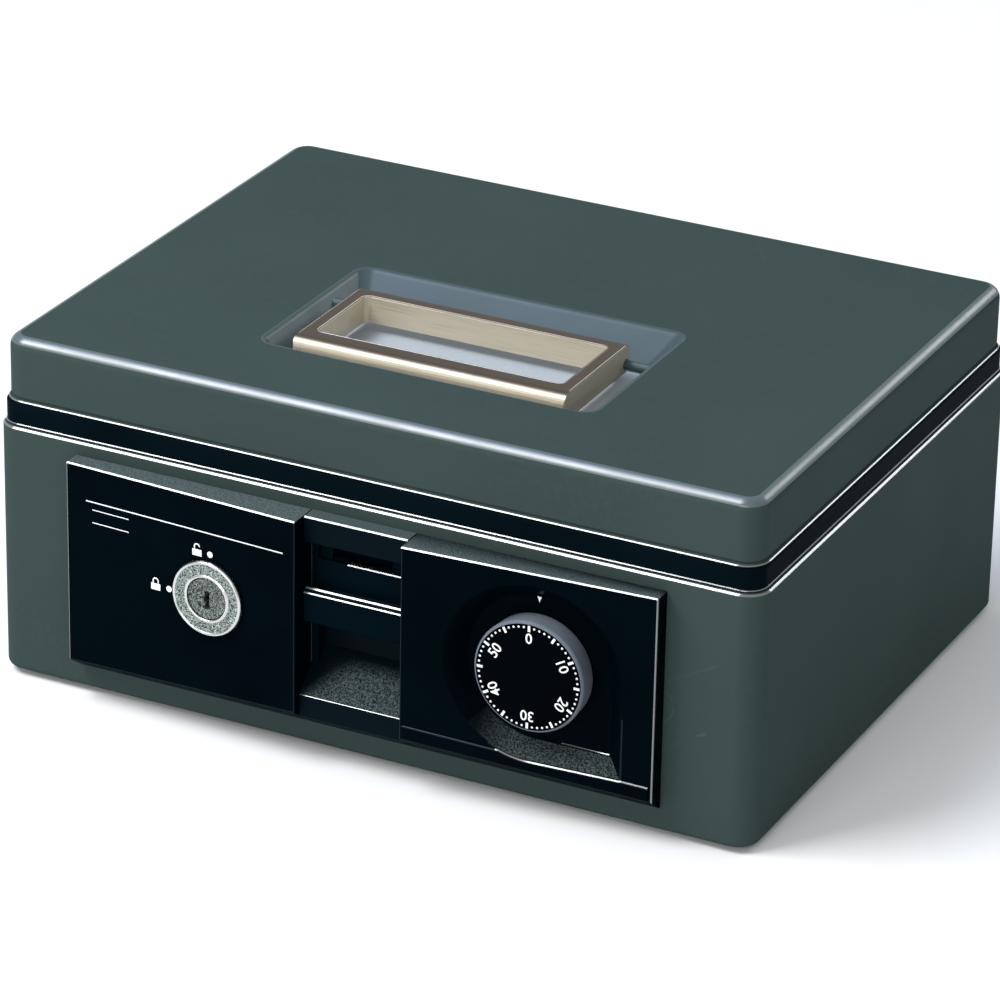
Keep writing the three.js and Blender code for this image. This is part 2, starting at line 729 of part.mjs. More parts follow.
function makeLid() {
  const halfWidth = WIDTH / 2 - LID_INSET;
  const halfDepth = DEPTH / 2 - LID_INSET;
  const radius = CORNER - LID_INSET + 1.8;
  const fillet = (top, size, steps) =>
    Array.from({ length: steps + 1 }, (_, i) => {
      const angle = (i / steps) * (Math.PI / 2);
      return [top - size + size * Math.sin(angle), size * Math.cos(angle) - size];
    });
  const outside = stack(halfWidth, halfDepth, radius, [
    [LID_BOTTOM, FLARE - 0.4],
    [LID_BOTTOM + 0.4, FLARE],
    [LID_BOTTOM + 2, FLARE],
    [LID_BOTTOM + 4, 0],
    ...fillet(LID_TOP, LID_FILLET, 5),
  ]);
  const inside = stack(halfWidth - SHEET, halfDepth - SHEET, radius - SHEET, [
    [LID_BOTTOM - 1, 0],
    ...fillet(LID_TOP - SHEET, LID_FILLET - SHEET, 3),
  ]);
  const well = recessSolid(SHEET, RECESS_BASE.z - SHEET, LID_TOP - SHEET / 2);
  const recess = recessSolid(0, RECESS_BASE.z, LID_TOP + 1);
  const pinHoles = barAlongX(HANDLE_PIN_RADIUS + FIT, -70, 70, HANDLE_AXIS.y, HANDLE_AXIS.z);
  place("lid_shell", cut(join(cut(outside, inside), well), recess, pinHoles), paint);

  const strike = cut(
    join(
      block(-20, 20, -109.1, -107.9, 112, 126),
      block(-20, 20, -109.1, -99.5, 112, 113.6),
      block(-8, 8, -101.5, -99.5, 72, 113.6),
    ),
    block(-5.2, 5.2, -103, -98, 77.5, 88),
  );
  place("lid_strike", strike, zincSteel);
}

function rounded(corners) {
  const shape = new THREE.Shape();
  const count = corners.length;
  corners.forEach(([u, v, radius], i) => {
    const before = new THREE.Vector2(...corners[(i + count - 1) % count]);
    const after = new THREE.Vector2(...corners[(i + 1) % count]);
    const here = new THREE.Vector2(u, v);
    const start = here.clone().add(before.sub(here).setLength(radius));
    const end = here.clone().add(after.sub(here).setLength(radius));
    if (i === 0) shape.moveTo(start.x, start.y);
    else shape.lineTo(start.x, start.y);
    shape.quadraticCurveTo(u, v, end.x, end.y);
  });
  shape.closePath();
  return shape;
}

function makeHandle() {
  const { half, front: near, rear, bottom, top } = HANDLE;
  const side = alongX(
    rounded([
      [near, bottom, 3],
      [rear, bottom, 3],
      [rear, top, 4],
      [near, top, 4.5],
    ]),
    -half,
    half,
  );
  const outline = extrude(rounded([[-half, near, 1], [half, near, 1], [half, rear, 1], [-half, rear, 1]]), 30, 3)
    .translate(0, 0, 110);
  const sideBar = 5;
  const opening = extrude(
    rounded([
      [-half + sideBar, near + 9, 2.5],
      [half - sideBar, near + 9, 2.5],
      [half - sideBar, rear - 7.8, 2.5],
      [-half + sideBar, rear - 7.8, 2.5],
    ]),
    30,
    4,
  ).translate(0, 0, 110);
  const bores = [-1, 1].map((s) =>
    barAlongX(HANDLE_PIN_RADIUS + FIT, s > 0 ? 45 : -60, s > 0 ? 60 : -45, HANDLE_AXIS.y, HANDLE_AXIS.z, 16),
  );
  place("handle", cut(meet(side, outline), opening, ...bores), brushedBrass);

  const pin = turned([
    [0, 46],
    [HANDLE_PIN_RADIUS, 46],
    [HANDLE_PIN_RADIUS, 67.9],
    [2.6, 67.9],
    [2.2, 69.2],
    [0, 69.2],
  ], 16);
  const bracket = cut(
    join(block(66.4, 67.6, -24.4, -10.4, 120, 129), block(66.4, 76, -24.4, -10.4, 127.8, 129)),
    barAlongX(HANDLE_PIN_RADIUS + FIT, 60, 70, HANDLE_AXIS.y, HANDLE_AXIS.z, 16),
    block(67.6, 70, HANDLE_AXIS.y - 3, HANDLE_AXIS.y + 3, 120, 130),
  );
  for (const [name, turn] of [["left", Math.PI / 2], ["right", -Math.PI / 2]]) {
    place("handle_pin_" + name, pin.clone().rotateZ(turn), zincSteel, 0, HANDLE_AXIS.y, HANDLE_AXIS.z);
    const placed = name === "right" ? bracket.clone() : bracket.clone().translate(0, -2 * HANDLE_AXIS.y, 0);
    if (name === "left") placed.rotateZ(Math.PI);
    place("handle_bracket_" + name, placed, zincSteel);
  }
}

// ---- Hinges ----
function knuckle(x0, x1) {
  return barAlongX(KNUCKLE_RADIUS, x0, x1, HINGE_AXIS.y, HINGE_AXIS.z, 20);
}

function makeHinges() {
  const { y, z } = HINGE_AXIS;
  const wallFace = DEPTH / 2 + FIT;
  const leaf = 1.2;
  const gap = FIT;
  const split = 10;
  const bodyPlate = block(-HINGE_HALF, HINGE_HALF, wallFace, wallFace + leaf, 72, 99);
  const bodyArm = block(-HINGE_HALF, HINGE_HALF, wallFace, y, 97.6, 99.4);
  const middle = block(-split - gap, split + gap, wallFace - 1, y + 5, 97, 107);
  const bore = barAlongX(HINGE_PIN_RADIUS + 0.25, -40, 40, y, z, 16);
  const bodyLeaf = cut(join(bodyPlate, bodyArm, knuckle(-HINGE_HALF, HINGE_HALF)), middle, bore);

  const lidFace = DEPTH / 2 - LID_INSET + FIT;
  const flareFace = lidFace + FLARE;
  const lidProfile = toShape([
    [y - 1, z],
    [y - 1, z + 4],
    [flareFace + leaf, 107.8],
    [flareFace + leaf, 110],
    [lidFace + leaf, 111.4],
    [lidFace + leaf, 124],
    [lidFace, 124],
    [lidFace, 110.9],
    [flareFace, 109.6],
    [flareFace, 107.2],
    [y - 2.3, z + 3.6],
    [y - 2.3, z],
  ]);
  const lidPlate = alongX(lidProfile, -split, split);
  const lidLeaf = cut(join(lidPlate, knuckle(-split, split)), bore);
  for (const [name, x] of [["left", -HINGE_X], ["right", HINGE_X]]) {
    place("hinge_body_leaf_" + name, bodyLeaf.clone(), zincSteel, x);
    place("hinge_lid_leaf_" + name, lidLeaf.clone(), zincSteel, x);
    const pin = bar(HINGE_PIN_RADIUS, -HINGE_HALF, HINGE_HALF, 16).rotateZ(Math.PI / 2);
    place("hinge_pin_" + name, pin, brightSteel, x, y, z);
  }
}

// ---- Coin tray on its rails ----
function makeTray() {
  const { half, front: near, rear, bottom, top } = TRAY;
  const body = loft([
    ring(-half + 1.5, half - 1.5, near + 1.5, rear - 1.5, 4, bottom, 3),
    ring(-half, half, near, rear, 5, top, 3),
  ]);
  const cuts = [];
  const troughs = 6;
  const divide = 8; // y of the wall between the coin troughs and the flat compartments
  const troughWidth = (2 * half - TRAY_WALL * (troughs + 1) - 3) / troughs;
  const radius = troughWidth / 2;
  for (let i = 0; i < troughs; i += 1) {
    const x = -half + 1.5 + TRAY_WALL + radius + i * (troughWidth + TRAY_WALL);
    const shape = new THREE.Shape();
    const base = bottom + TRAY_WALL + radius;
    shape.moveTo(x + radius, top + 1);
    shape.lineTo(x - radius, top + 1);
    shape.lineTo(x - radius, base);
    shape.absarc(x, base, radius, Math.PI, 2 * Math.PI, false);
    shape.closePath();
    cuts.push(alongY(shape, near + TRAY_WALL + 1.5, divide - TRAY_WALL / 2, 10));
  }
  const compartments = 3;
  const inner = 2 * half - TRAY_WALL * (compartments + 1) - 3;
  const width = inner / compartments;
  for (let i = 0; i < compartments; i += 1) {
    const x0 = -half + 1.5 + TRAY_WALL + i * (width + TRAY_WALL);
    cuts.push(
      loft(
        [bottom + TRAY_WALL, top + 1].map((z) =>
          ring(x0, x0 + width, divide + TRAY_WALL / 2, rear - TRAY_WALL - 1.5, 5, z, 3),
        ),
      ),
    );
  }
  place("coin_tray", cut(body, ...cuts), trayPlastic);

  const wallFace = WIDTH / 2 - SHEET - FIT;
  const shelf = join(block(132, wallFace, -76, 96, 56, 57.2), block(wallFace - 1.2, wallFace, -76, 96, 56, 68));
  place("tray_rail_right", shelf, zincSteel);
  place("tray_rail_left", shelf.clone().translate(0, -20, 0).rotateZ(Math.PI), zincSteel);
}

makeTub();
makeRimFrame();
makeKeySide();
makeDialSide();
makeLatchHousing();
makeLatchLever();
makeLatchSlide();
makeLockCase();
makeKeyLock();
makeDialLock();
makeLid();
makeHandle();
makeHinges();
makeTray();

export default box;
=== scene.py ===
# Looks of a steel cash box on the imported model: skins, moulded panels, markings, materials, light and camera.
import math

import bmesh
import bpy
from mathutils import Matrix, Vector


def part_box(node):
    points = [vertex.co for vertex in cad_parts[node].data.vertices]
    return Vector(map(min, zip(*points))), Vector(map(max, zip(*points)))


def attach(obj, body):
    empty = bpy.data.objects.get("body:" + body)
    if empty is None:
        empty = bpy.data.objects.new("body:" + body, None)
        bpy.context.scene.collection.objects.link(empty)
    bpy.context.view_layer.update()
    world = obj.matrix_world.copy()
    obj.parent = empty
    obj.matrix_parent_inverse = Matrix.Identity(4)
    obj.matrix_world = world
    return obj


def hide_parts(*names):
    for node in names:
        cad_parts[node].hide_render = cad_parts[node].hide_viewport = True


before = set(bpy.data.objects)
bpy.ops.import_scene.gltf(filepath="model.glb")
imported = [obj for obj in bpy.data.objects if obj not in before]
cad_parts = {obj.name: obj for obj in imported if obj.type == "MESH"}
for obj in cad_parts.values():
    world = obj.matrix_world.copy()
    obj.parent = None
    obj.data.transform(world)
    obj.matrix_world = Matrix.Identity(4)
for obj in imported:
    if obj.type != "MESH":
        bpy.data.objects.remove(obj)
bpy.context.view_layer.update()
MM = 0.001

tub_lo, tub_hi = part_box("body_shell")
ORIGIN = Vector(((tub_lo.x + tub_hi.x) / 2, (tub_lo.y + tub_hi.y) / 2, tub_lo.z))
HALF_W = (tub_hi.x - tub_lo.x) / 2 / MM
HALF_D = (tub_hi.y - tub_lo.y) / 2 / MM
TUB_TOP = (tub_hi.z - tub_lo.z) / MM


def local_box(node):
    """A CAD node's box in millimetres from the middle of the tub's underside."""
    lo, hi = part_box(node)
    return [(v - ORIGIN) / MM for v in (lo, hi)]


def at(x, y, z):
    return ORIGIN + Vector((x, y, z)) * MM


# ---- Shapes ----
def ring(x0, x1, y0, y1, radius, z, steps=12):
    """A rounded rectangle at one height, anticlockwise from above."""
    corners = (
        (x1 - radius, y0 + radius, -90),
        (x1 - radius, y1 - radius, 0),
        (x0 + radius, y1 - radius, 90),
        (x0 + radius, y0 + radius, 180),
    )
    points = []
    for cx, cy, start in corners:
        for i in range(steps + 1):
            a = math.radians(start + 90 * i / steps)
            points.append((cx + radius * math.cos(a), cy + radius * math.sin(a), z))
    return points


def stack(half_w, half_d, radius, levels):
    """Rings of a rounded rectangle, each offset outwards by the second number of its level."""
    return [
        ring(-half_w - out, half_w + out, -half_d - out, half_d + out, max(radius + out, 0.05), z)
        for z, out in levels
    ]


def skin(rings, first=False, last=False, loop=False):
    """Joins rings of equally many points; first and last close the ends with a flat face."""
    n = len(rings[0])
    count = len(rings)
    faces = []
    for level in range(count if loop else count - 1):
        a, b = level * n, ((level + 1) % count) * n
        for i in range(n):
            j = (i + 1) % n
            faces.append((a + i, a + j, b + j, b + i))
    if first:
        faces.append(tuple(range(n - 1, -1, -1)))
    if last:
        faces.append(tuple((count - 1) * n + i for i in range(n)))
    return [p for r in rings for p in r], faces


def arc(centre, radius, start, end, steps):
    """Points of an arc in a profile's own two coordinates, angles in degrees."""
    out = []
    for i in range(steps + 1):
        a = math.radians(start + (end - start) * i / steps)
        out.append((centre[0] + radius * math.cos(a), centre[1] + radius * math.sin(a)))
    return out


def turned(profile, segments, centre):
    """Rings about an axis along y through centre (x, z), one for each [radius, y]."""
    return [
        [
            (
                centre[0] + r * math.cos(2 * math.pi * i / segments),
                y,
                centre[1] + r * math.sin(2 * math.pi * i / segments),
            )
            for i in range(segments)
        ]
        for r, y in profile
    ]


def add_modifier(obj, kind, **settings):
    m = obj.modifiers.new(kind.title(), kind)
    for key, value in settings.items():
        setattr(m, key, value)
    return m


def shade(obj):
    for p in obj.data.polygons:
        p.use_smooth = True
    add_modifier(obj, "WEIGHTED_NORMAL", mode="FACE_AREA", weight=80, keep_sharp=False)


def new_mesh(name, shape, indices=None):
    """A mesh from points in local millimetres, its faces turned outwards."""
    points, faces = shape
    mesh = bpy.data.meshes.new(name)
    mesh.from_pydata([at(*p) for p in points], [], faces)
    if indices:
        mesh.polygons.foreach_set("material_index", indices)
    bm = bmesh.new()
    bm.from_mesh(mesh)
    bmesh.ops.remove_doubles(bm, verts=bm.verts, dist=1e-7)
    bmesh.ops.recalc_face_normals(bm, faces=bm.faces)
    bm.to_mesh(mesh)
    bm.free()
    return mesh


def link(name, data):
    obj = bpy.data.objects.new(name, data)
    bpy.context.scene.collection.objects.link(obj)
    return obj


def take_away(obj, tools):
    """Cuts the tools out of an object, together with the modifiers it has so far, and applies it all."""
    for tool in tools:
        add_modifier(obj, "BOOLEAN", operation="DIFFERENCE", solver="EXACT", object=tool)
    bpy.context.view_layer.update()
    evaluated = obj.evaluated_get(bpy.context.evaluated_depsgraph_get())
    obj.data = bpy.data.meshes.new_from_object(evaluated)
    obj.modifiers.clear()
    for tool in tools:
        bpy.data.objects.remove(tool)


def make(
    name, shape, material, body, replaces=(),
    thickness=0, bevel=0, cuts=(), indices=None, sort=None,
):
    """One piece on a body. sort gives a face its material from its middle, in millimetres, and its normal."""
    mesh = new_mesh(name, shape, indices)
    obj = link(name, mesh)
    materials = material if isinstance(material, (list, tuple)) else [material]
    for m in materials:
        mesh.materials.append(m)
    if thickness:
        add_modifier(
            obj, "SOLIDIFY", thickness=thickness * MM, offset=-1, use_even_offset=True,
            material_offset=1 - len(materials),
        )
    if cuts:
        take_away(obj, cuts)
    if bevel:
        add_modifier(
            obj, "BEVEL", width=bevel * MM, segments=3, limit_method="ANGLE", angle_limit=0.9,
            material=1 if len(materials) > 1 else -1,
        )
    if sort:
        take_away(obj, ())
        for p in obj.data.polygons:
            p.material_index = sort((p.center - ORIGIN) / MM, p.normal, p.material_index)
    shade(obj)
    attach(obj, body)
    if replaces:
        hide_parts(*replaces)
    return obj


def glint(name, path, width, body):
    """A flat polished chamfer along an upper front edge, in a light grey that is a painted highlight; path
    holds the edge's points as (x, proud, z).
    """
    lift = 0.45 * width
    rings = [
        [
            (x, front(proud + lift), z - width),
            (x, front(proud - width), z + lift),
            (x, front(proud - width), z - width),
        ]
        for x, proud, z in path
    ]
    obj = link(name, new_mesh(name, skin(rings, True, True)))
    obj.data.materials.append(EDGE_PAINTED_HIGHLIGHT)
    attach(obj, body)


def cutter(name, shape):
    """A solid for take_away, which removes it again."""
    return link(name, new_mesh(name, shape))


def block(x0, x1, y0, y1, z0, z1):
    """An upright box with square corners."""
    return skin([ring(x0, x1, y0, y1, 0.001, z, 1) for z in (z0, z1)], True, True)


# ---- Materials ----
class Nodes:
    """Short calls for building one material's node tree."""

    def __init__(self, name, color, roughness, metallic=0.0, **sockets):
        self.material = bpy.data.materials.new(name)
        self.material.use_nodes = True
        self.tree = self.material.node_tree
        self.shader = self.tree.nodes["Principled BSDF"]
        self.color = (*color, 1)
        self.set("Base Color", self.color)
        self.set("Roughness", roughness)
        self.set("Metallic", metallic)
        for key, value in sockets.items():
            self.set(key.replace("_", " "), value)
        self.place = self.add("ShaderNodeTexCoord").outputs["Object"]

    def set(self, socket, value):
        self.shader.inputs[socket].default_value = value

    def add(self, kind, inputs=None, **settings):
        node = self.tree.nodes.new(kind)
        for key, value in settings.items():
            setattr(node, key, value)
        for key, value in (inputs or {}).items():
            self.join(value, node.inputs[key])
        return node

    def join(self, value, socket):
        if isinstance(value, bpy.types.NodeSocket):
            self.tree.links.new(value, socket)
        else:
            socket.default_value = value

    def math(self, operation, a, b=0.0):
        return self.add("ShaderNodeMath", {0: a, 1: b}, operation=operation).outputs[0]

    def stretched(self, scale):
        return self.add("ShaderNodeMapping", {"Vector": self.place, "Scale": scale}).outputs[0]

    def noise(self, scale, detail=3.0, where=None, rough=0.55):
        node = self.add(
            "ShaderNodeTexNoise",
            {"Vector": where or self.place, "Scale": scale, "Detail": detail, "Roughness": rough},
        )
        return node.outputs["Fac"]

    def remap(self, value, low, high, to_low=0.0, to_high=1.0):
        node = self.add(
            "ShaderNodeMapRange",
            {"Value": value, "From Min": low, "From Max": high, "To Min": to_low, "To Max": to_high},
        )
        return node.outputs[0]

    def mix(self, factor, a, b):
        node = self.add("ShaderNodeMix", data_type="RGBA")
        self.join(factor, node.inputs["Factor"])
        self.join(a, node.inputs[6])
        self.join(b, node.inputs[7])
        return node.outputs[2]

    def tint(self, factor, gain):
        """The base colour, brought up by gain where factor is 1."""
        bright = tuple(min(1.0, c * gain) for c in self.color[:3]) + (1,)
        source = self.shader.inputs["Base Color"]
        before = source.links[0].from_socket if source.links else self.color
        self.join(self.mix(factor, before, bright), source)

    def paint_over(self, factor, color):
        source = self.shader.inputs["Base Color"]
        before = source.links[0].from_socket if source.links else self.color
        self.join(self.mix(factor, before, (*color, 1)), source)

    def rough(self, value):
        self.join(value, self.shader.inputs["Roughness"])

    def bump(self, height, strength, depth):
        before = self.shader.inputs["Normal"]
        node = self.add("ShaderNodeBump", {"Height": height, "Strength": strength, "Distance": depth * MM})
        if before.links:
            self.join(before.links[0].from_socket, node.inputs["Normal"])
        self.join(node.outputs[0], before)


def painted(name, color, specular, roughness):
    """Baked enamel: fine orange peel, faint clouding and a few hairline scratches."""
    n = Nodes(name, color, roughness, Specular_IOR_Level=specular)
    n.tint(n.remap(n.noise(14, 4), 0.3, 0.75), 1.14)
    n.tint(n.remap(n.noise(420, 3, rough=0.7), 0.45, 0.7), 1.12)
    n.rough(n.remap(n.noise(40, 5), 0.3, 0.7, roughness * 0.88, roughness * 1.15))
    n.bump(n.noise(900, 2), 0.1, 0.05)
    swirl = n.add("ShaderNodeTexNoise", {"Vector": n.place, "Scale": 5, "Detail": 1}).outputs["Color"]
    warp = n.add("ShaderNodeVectorMath", {0: n.stretched((1, 3.5, 1)), 1: swirl}, operation="ADD")
    lines = n.add("ShaderNodeTexVoronoi", {"Vector": warp.outputs[0], "Scale": 9}, feature="DISTANCE_TO_EDGE")
    hairline = n.math("LESS_THAN", lines.outputs["Distance"], 0.0016)
    rare = n.math("GREATER_THAN", n.noise(11, 2), 0.64)
    scratch = n.math("MULTIPLY", hairline, rare)
    n.tint(n.math("MULTIPLY", scratch, 0.45), 1.9)
    return n.material


def moulded(name, color, roughness, specular=0.3, grain=0.06, size=1500, coat=0.0, dust=0.35):
    """Injection-moulded plastic: clouded gloss, a fine skin and a little dust."""
    n = Nodes(name, color, roughness, Specular_IOR_Level=specular, Coat_Weight=coat, Coat_Roughness=0.08)
    n.tint(n.remap(n.noise(30, 4), 0.35, 0.75), 1.5)
    specks = n.math("GREATER_THAN", n.noise(1800, 1), 0.77)
    n.tint(n.math("MULTIPLY", specks, dust), 6)
    n.rough(n.remap(n.noise(60, 5), 0.3, 0.7, roughness * 0.85, roughness * 1.25))
    n.bump(n.noise(size, 2), grain, 0.04)
    return n.material


def grained(name, color, light, roughness, specular, fade=None):
    """Spark-eroded plastic: a coarse grain with specks of the colour light, which grow between the two places x
    of fade; on the lit recess slope the specks are a painted highlight and their fade to the left is painted
    shade.
    """
    n = Nodes(name, color, roughness, Specular_IOR_Level=specular)
    speck = grain_specks(n)
    if fade:
        x = n.add("ShaderNodeSeparateXYZ", {0: n.place}).outputs[0]
        speck = n.math("MULTIPLY", speck, n.remap(x, fade[0], fade[1]))
    n.paint_over(speck, light)
    grain_bump(n)
    return n.material


def grain_specks(n):
    """Where the spark-eroded grain shows light specks, from 0 to 1; on the lit slopes these specks are a
    painted highlight.
    """
    return n.remap(n.noise(1600, 3, rough=0.7), 0.4, 0.66)


def grain_bump(n, share=1.0):
    """The dimples of the spark-eroded grain, where share is 1."""
    cells = n.add("ShaderNodeTexVoronoi", {"Vector": n.place, "Scale": 1500}).outputs["Distance"]
    n.bump(n.math("MULTIPLY", cells, share), 0.7, 0.2)


def latch_plastic(name, color, top_color, light, top, slope_top, shade_top):
    """The latch housing: satin, with a grey top above the height top, and on the sloping floor of its scoop
    a grain whose light specks are a painted highlight, hidden by painted shadow on the left and towards the
    height shade_top."""
    n = Nodes(name, color, 0.4, Specular_IOR_Level=0.03)
    x, _, z = n.add("ShaderNodeSeparateXYZ", {0: n.place}).outputs
    normal = n.add("ShaderNodeSeparateXYZ", {0: n.add("ShaderNodeNewGeometry").outputs["Normal"]})
    sloping = n.add("ShaderNodeMath", {0: normal.outputs[2], 1: math.sqrt(0.5), 2: 0.12}, operation="COMPARE")
    slope = n.math("MULTIPLY", sloping.outputs[0], n.math("LESS_THAN", z, slope_top))
    speck = grain_specks(n)
    # Painted shadow: the specks fade out where the left plate and the lever's bar would shade the slope.
    across = n.math("SUBTRACT", x, n.math("MULTIPLY", z, 1.15))
    lit_left = n.remap(across, -52 * MM, -44 * MM)
    lit_low = n.remap(z, shade_top, shade_top - 4 * MM)
    lit = n.math("MULTIPLY", lit_left, lit_low)
    n.tint(n.remap(n.noise(30, 4), 0.35, 0.75), 1.4)
    n.paint_over(n.math("MULTIPLY", n.math("MULTIPLY", speck, lit), slope), light)
    on_top = n.math("GREATER_THAN", z, top)
    n.paint_over(on_top, top_color)
    n.paint_over(n.math("MULTIPLY", speck, on_top), light)
    grain_bump(n, slope)
    n.bump(n.noise(1900, 2), 0.14, 0.04)
    return n.material


def metal(name, color, roughness, along=None):
    """Bare metal; along is the direction of its brushing, as scales of the noise in x, y and z."""
    n = Nodes(name, color, roughness, 1.0)
    if along:
        lines = n.noise(1, 3, n.stretched(along), 0.7)
        n.rough(n.remap(lines, 0.3, 0.7, roughness * 0.7, roughness * 1.5))
        n.tint(n.remap(lines, 0.35, 0.7), 1.25)
        n.bump(lines, 0.05, 0.05)
    else:
        n.rough(n.remap(n.noise(120, 5), 0.3, 0.7, roughness * 0.8, roughness * 1.35))
        n.tint(n.remap(n.noise(40, 4), 0.35, 0.75), 1.15)
        n.bump(n.noise(2400, 2), 0.2, 0.04)
    return n.material


def frosted(name, color, dark):
    """Shot-peened lock face: coarse dimples with painted sparkle highlights; a higher dark puts more of it in
    painted shade.
    """
    n = Nodes(name, color, 0.4, 0.5)
    cells = n.add("ShaderNodeTexVoronoi", {"Vector": n.place, "Scale": 1500})
    # Painted shade: near-black patches between the dimples.
    n.paint_over(n.remap(n.noise(1500, 2, rough=0.6), dark, dark - 0.06), tuple(c * 0.06 for c in color))
    # Painted highlight: bright sparkle specks.
    n.tint(n.remap(n.noise(1900, 1), 0.56, 0.64), 2.6)
    n.rough(n.remap(n.noise(700, 2), 0.3, 0.7, 0.28, 0.5))
    n.bump(cells.outputs["Distance"], 0.7, 0.25)
    return n.material


def brushed_gold(name, color, metallic, roughness, top=None, top_color=None):
    """Champagne metal, brushed along each bar of the frame, darkening to top_color towards the height top as a
    painted reflection of dark surroundings.
    """
    side_bar = 48.7 * MM  # beyond this distance from the middle the brushing runs front to back
    n = Nodes(name, color, roughness, metallic, Specular_IOR_Level=0.4)
    x_lines = n.noise(1, 3, n.stretched((40, 2600, 2600)), 0.7)
    y_lines = n.noise(1, 3, n.stretched((2600, 40, 2600)), 0.7)
    position = n.add("ShaderNodeSeparateXYZ", {0: n.place})
    side = n.math("GREATER_THAN", n.math("ABSOLUTE", position.outputs[0]), side_bar)
    chosen = n.add("ShaderNodeMix")
    n.join(side, chosen.inputs[0])
    n.join(x_lines, chosen.inputs[2])
    n.join(y_lines, chosen.inputs[3])
    lines = chosen.outputs[0]
    n.tint(n.remap(lines, 0.35, 0.7), 1.2)
    n.paint_over(n.remap(lines, 0.42, 0.3), tuple(c * 0.8 for c in color))
    if top:
        # Painted reflection: the upward faces darken to top_color.
        n.paint_over(n.remap(position.outputs[2], top - 1.7 * MM, top - 0.3 * MM), top_color)
    n.rough(n.remap(lines, 0.3, 0.7, roughness * 0.8, roughness * 1.3))
    n.bump(lines, 0.1, 0.05)
    return n.material


def felt(name, color):
    """Matt needled felt."""
    n = Nodes(name, color, 0.95, Sheen_Weight=0.5, Sheen_Roughness=0.4, Specular_IOR_Level=0.1)
    n.tint(n.remap(n.noise(900, 4, rough=0.8), 0.35, 0.7), 1.7)
    n.bump(n.noise(1800, 4, rough=0.8), 0.6, 0.25)
    return n.material


def rubber(name, color):
    """Dull moulded rubber."""
    n = Nodes(name, color, 0.8, Specular_IOR_Level=0.3)
    n.tint(n.remap(n.noise(200, 4), 0.4, 0.7), 1.6)
    n.bump(n.noise(1500, 3), 0.3, 0.08)
    return n.material


ENAMEL = (0.034, 0.0515, 0.0485)
# The grain's light specks on the lit slopes: a painted highlight.
GRAIN_PAINTED_HIGHLIGHT = (0.07, 0.095, 0.094)
SATIN_BLACK = (0.0002, 0.003, 0.005)
PAINT = painted("enamel", ENAMEL, 0.004, 0.36)
# A lighter, glossier enamel for the middle of the lid's top fillet: its lighter blue-grey is a painted
# highlight.
PAINT_EDGE_HIGHLIGHT = painted("enamel_edges_painted_highlight", (0.05, 0.075, 0.08), 1.0, 0.32)
PAINT_WELL = painted("enamel_well", (0.036, 0.06, 0.064), 0.22, 0.32)
# The well's floor: a much lighter blue-grey that stands in for its bright reflection, a painted reflection.
WELL_FLOOR_REFLECTION = painted("well_floor_painted_reflection", (0.34, 0.38, 0.41), 0.2, 0.4)
PANEL_GREY = grained("panel_top_grey", ENAMEL, (0.12, 0.15, 0.15), 0.6, 0.05)
RIM = moulded("rim_black", (0.0011, 0.004, 0.0058), 0.24, 0.003, dust=0.3)
# The bright edges: glossy chamfers whose light grey is a painted highlight.
EDGE_PAINTED_HIGHLIGHT = moulded("polished_edges_painted_highlight", (0.1, 0.1, 0.1), 0.2, 1.0, 0.02, coat=1.0, dust=0)
SOFT_EDGE = moulded("moulded_edges", (0.001, 0.005, 0.008), 0.2, 0.12, 0.03, dust=0)
GLOSS = moulded("panel_black", (0.0002, 0.0019, 0.0031), 0.2, 0.006, 0.03, dust=0.4)
SATIN = moulded("latch_satin", SATIN_BLACK, 0.4, 0.01, 0.16, 1900)
DIAL_BLACK = moulded("dial_black", (0.0003, 0.0008, 0.0015), 0.3, 0.008, 0.08, 1900)
DIAL_SIDE = moulded("dial_side", (0.095, 0.113, 0.132), 0.38, 0.06, 0.06, 1900)
GOLD_COLOR = (0.52, 0.46, 0.35)
# The handle's darker top: a painted reflection of dark surroundings.
BRONZE_TOP_REFLECTION = (0.07, 0.052, 0.037)
GOLD = brushed_gold("handle_champagne", GOLD_COLOR, 0.45, 0.36)
# The light champagne of the handle's edge lips is a painted highlight.
GOLD_EDGE_HIGHLIGHT = brushed_gold("handle_edges_painted_highlight", (0.8, 0.74, 0.62), 0.3, 0.3)
# The lock's frosted faces carry painted sparkle highlights and painted shade.
LOCK_FACE = frosted("lock_face_frosted", (0.2, 0.235, 0.215), 0.5)
LOCK_PLUG = frosted("lock_plug_frosted", (0.11, 0.13, 0.115), 0.52)
LOCK_RIM = metal("lock_rim", (0.6, 0.61, 0.58), 0.25)
BLACKED = metal("blacked_wire", (0.02, 0.02, 0.02), 0.4)
ZINC = metal("zinc_plate", (0.5, 0.53, 0.53), 0.38)
PRESSED = metal("rolled_zinc", (0.48, 0.51, 0.51), 0.42, (60, 60, 2200))
SPRING = metal("spring_wire", (0.6, 0.6, 0.6), 0.25)
BRASS = metal("turned_brass", (0.62, 0.43, 0.18), 0.3)
RUBBER = rubber("foot_rubber", (0.012, 0.012, 0.012))
TRAY = moulded("tray_plastic", (0.03, 0.038, 0.04), 0.5, 0.4, 0.25, 1600)
FELT = felt("mat_felt", (0.016, 0.022, 0.019))
INK = moulded("white_ink", (0.72, 0.74, 0.72), 0.5, 0.3, 0.1, 1600)

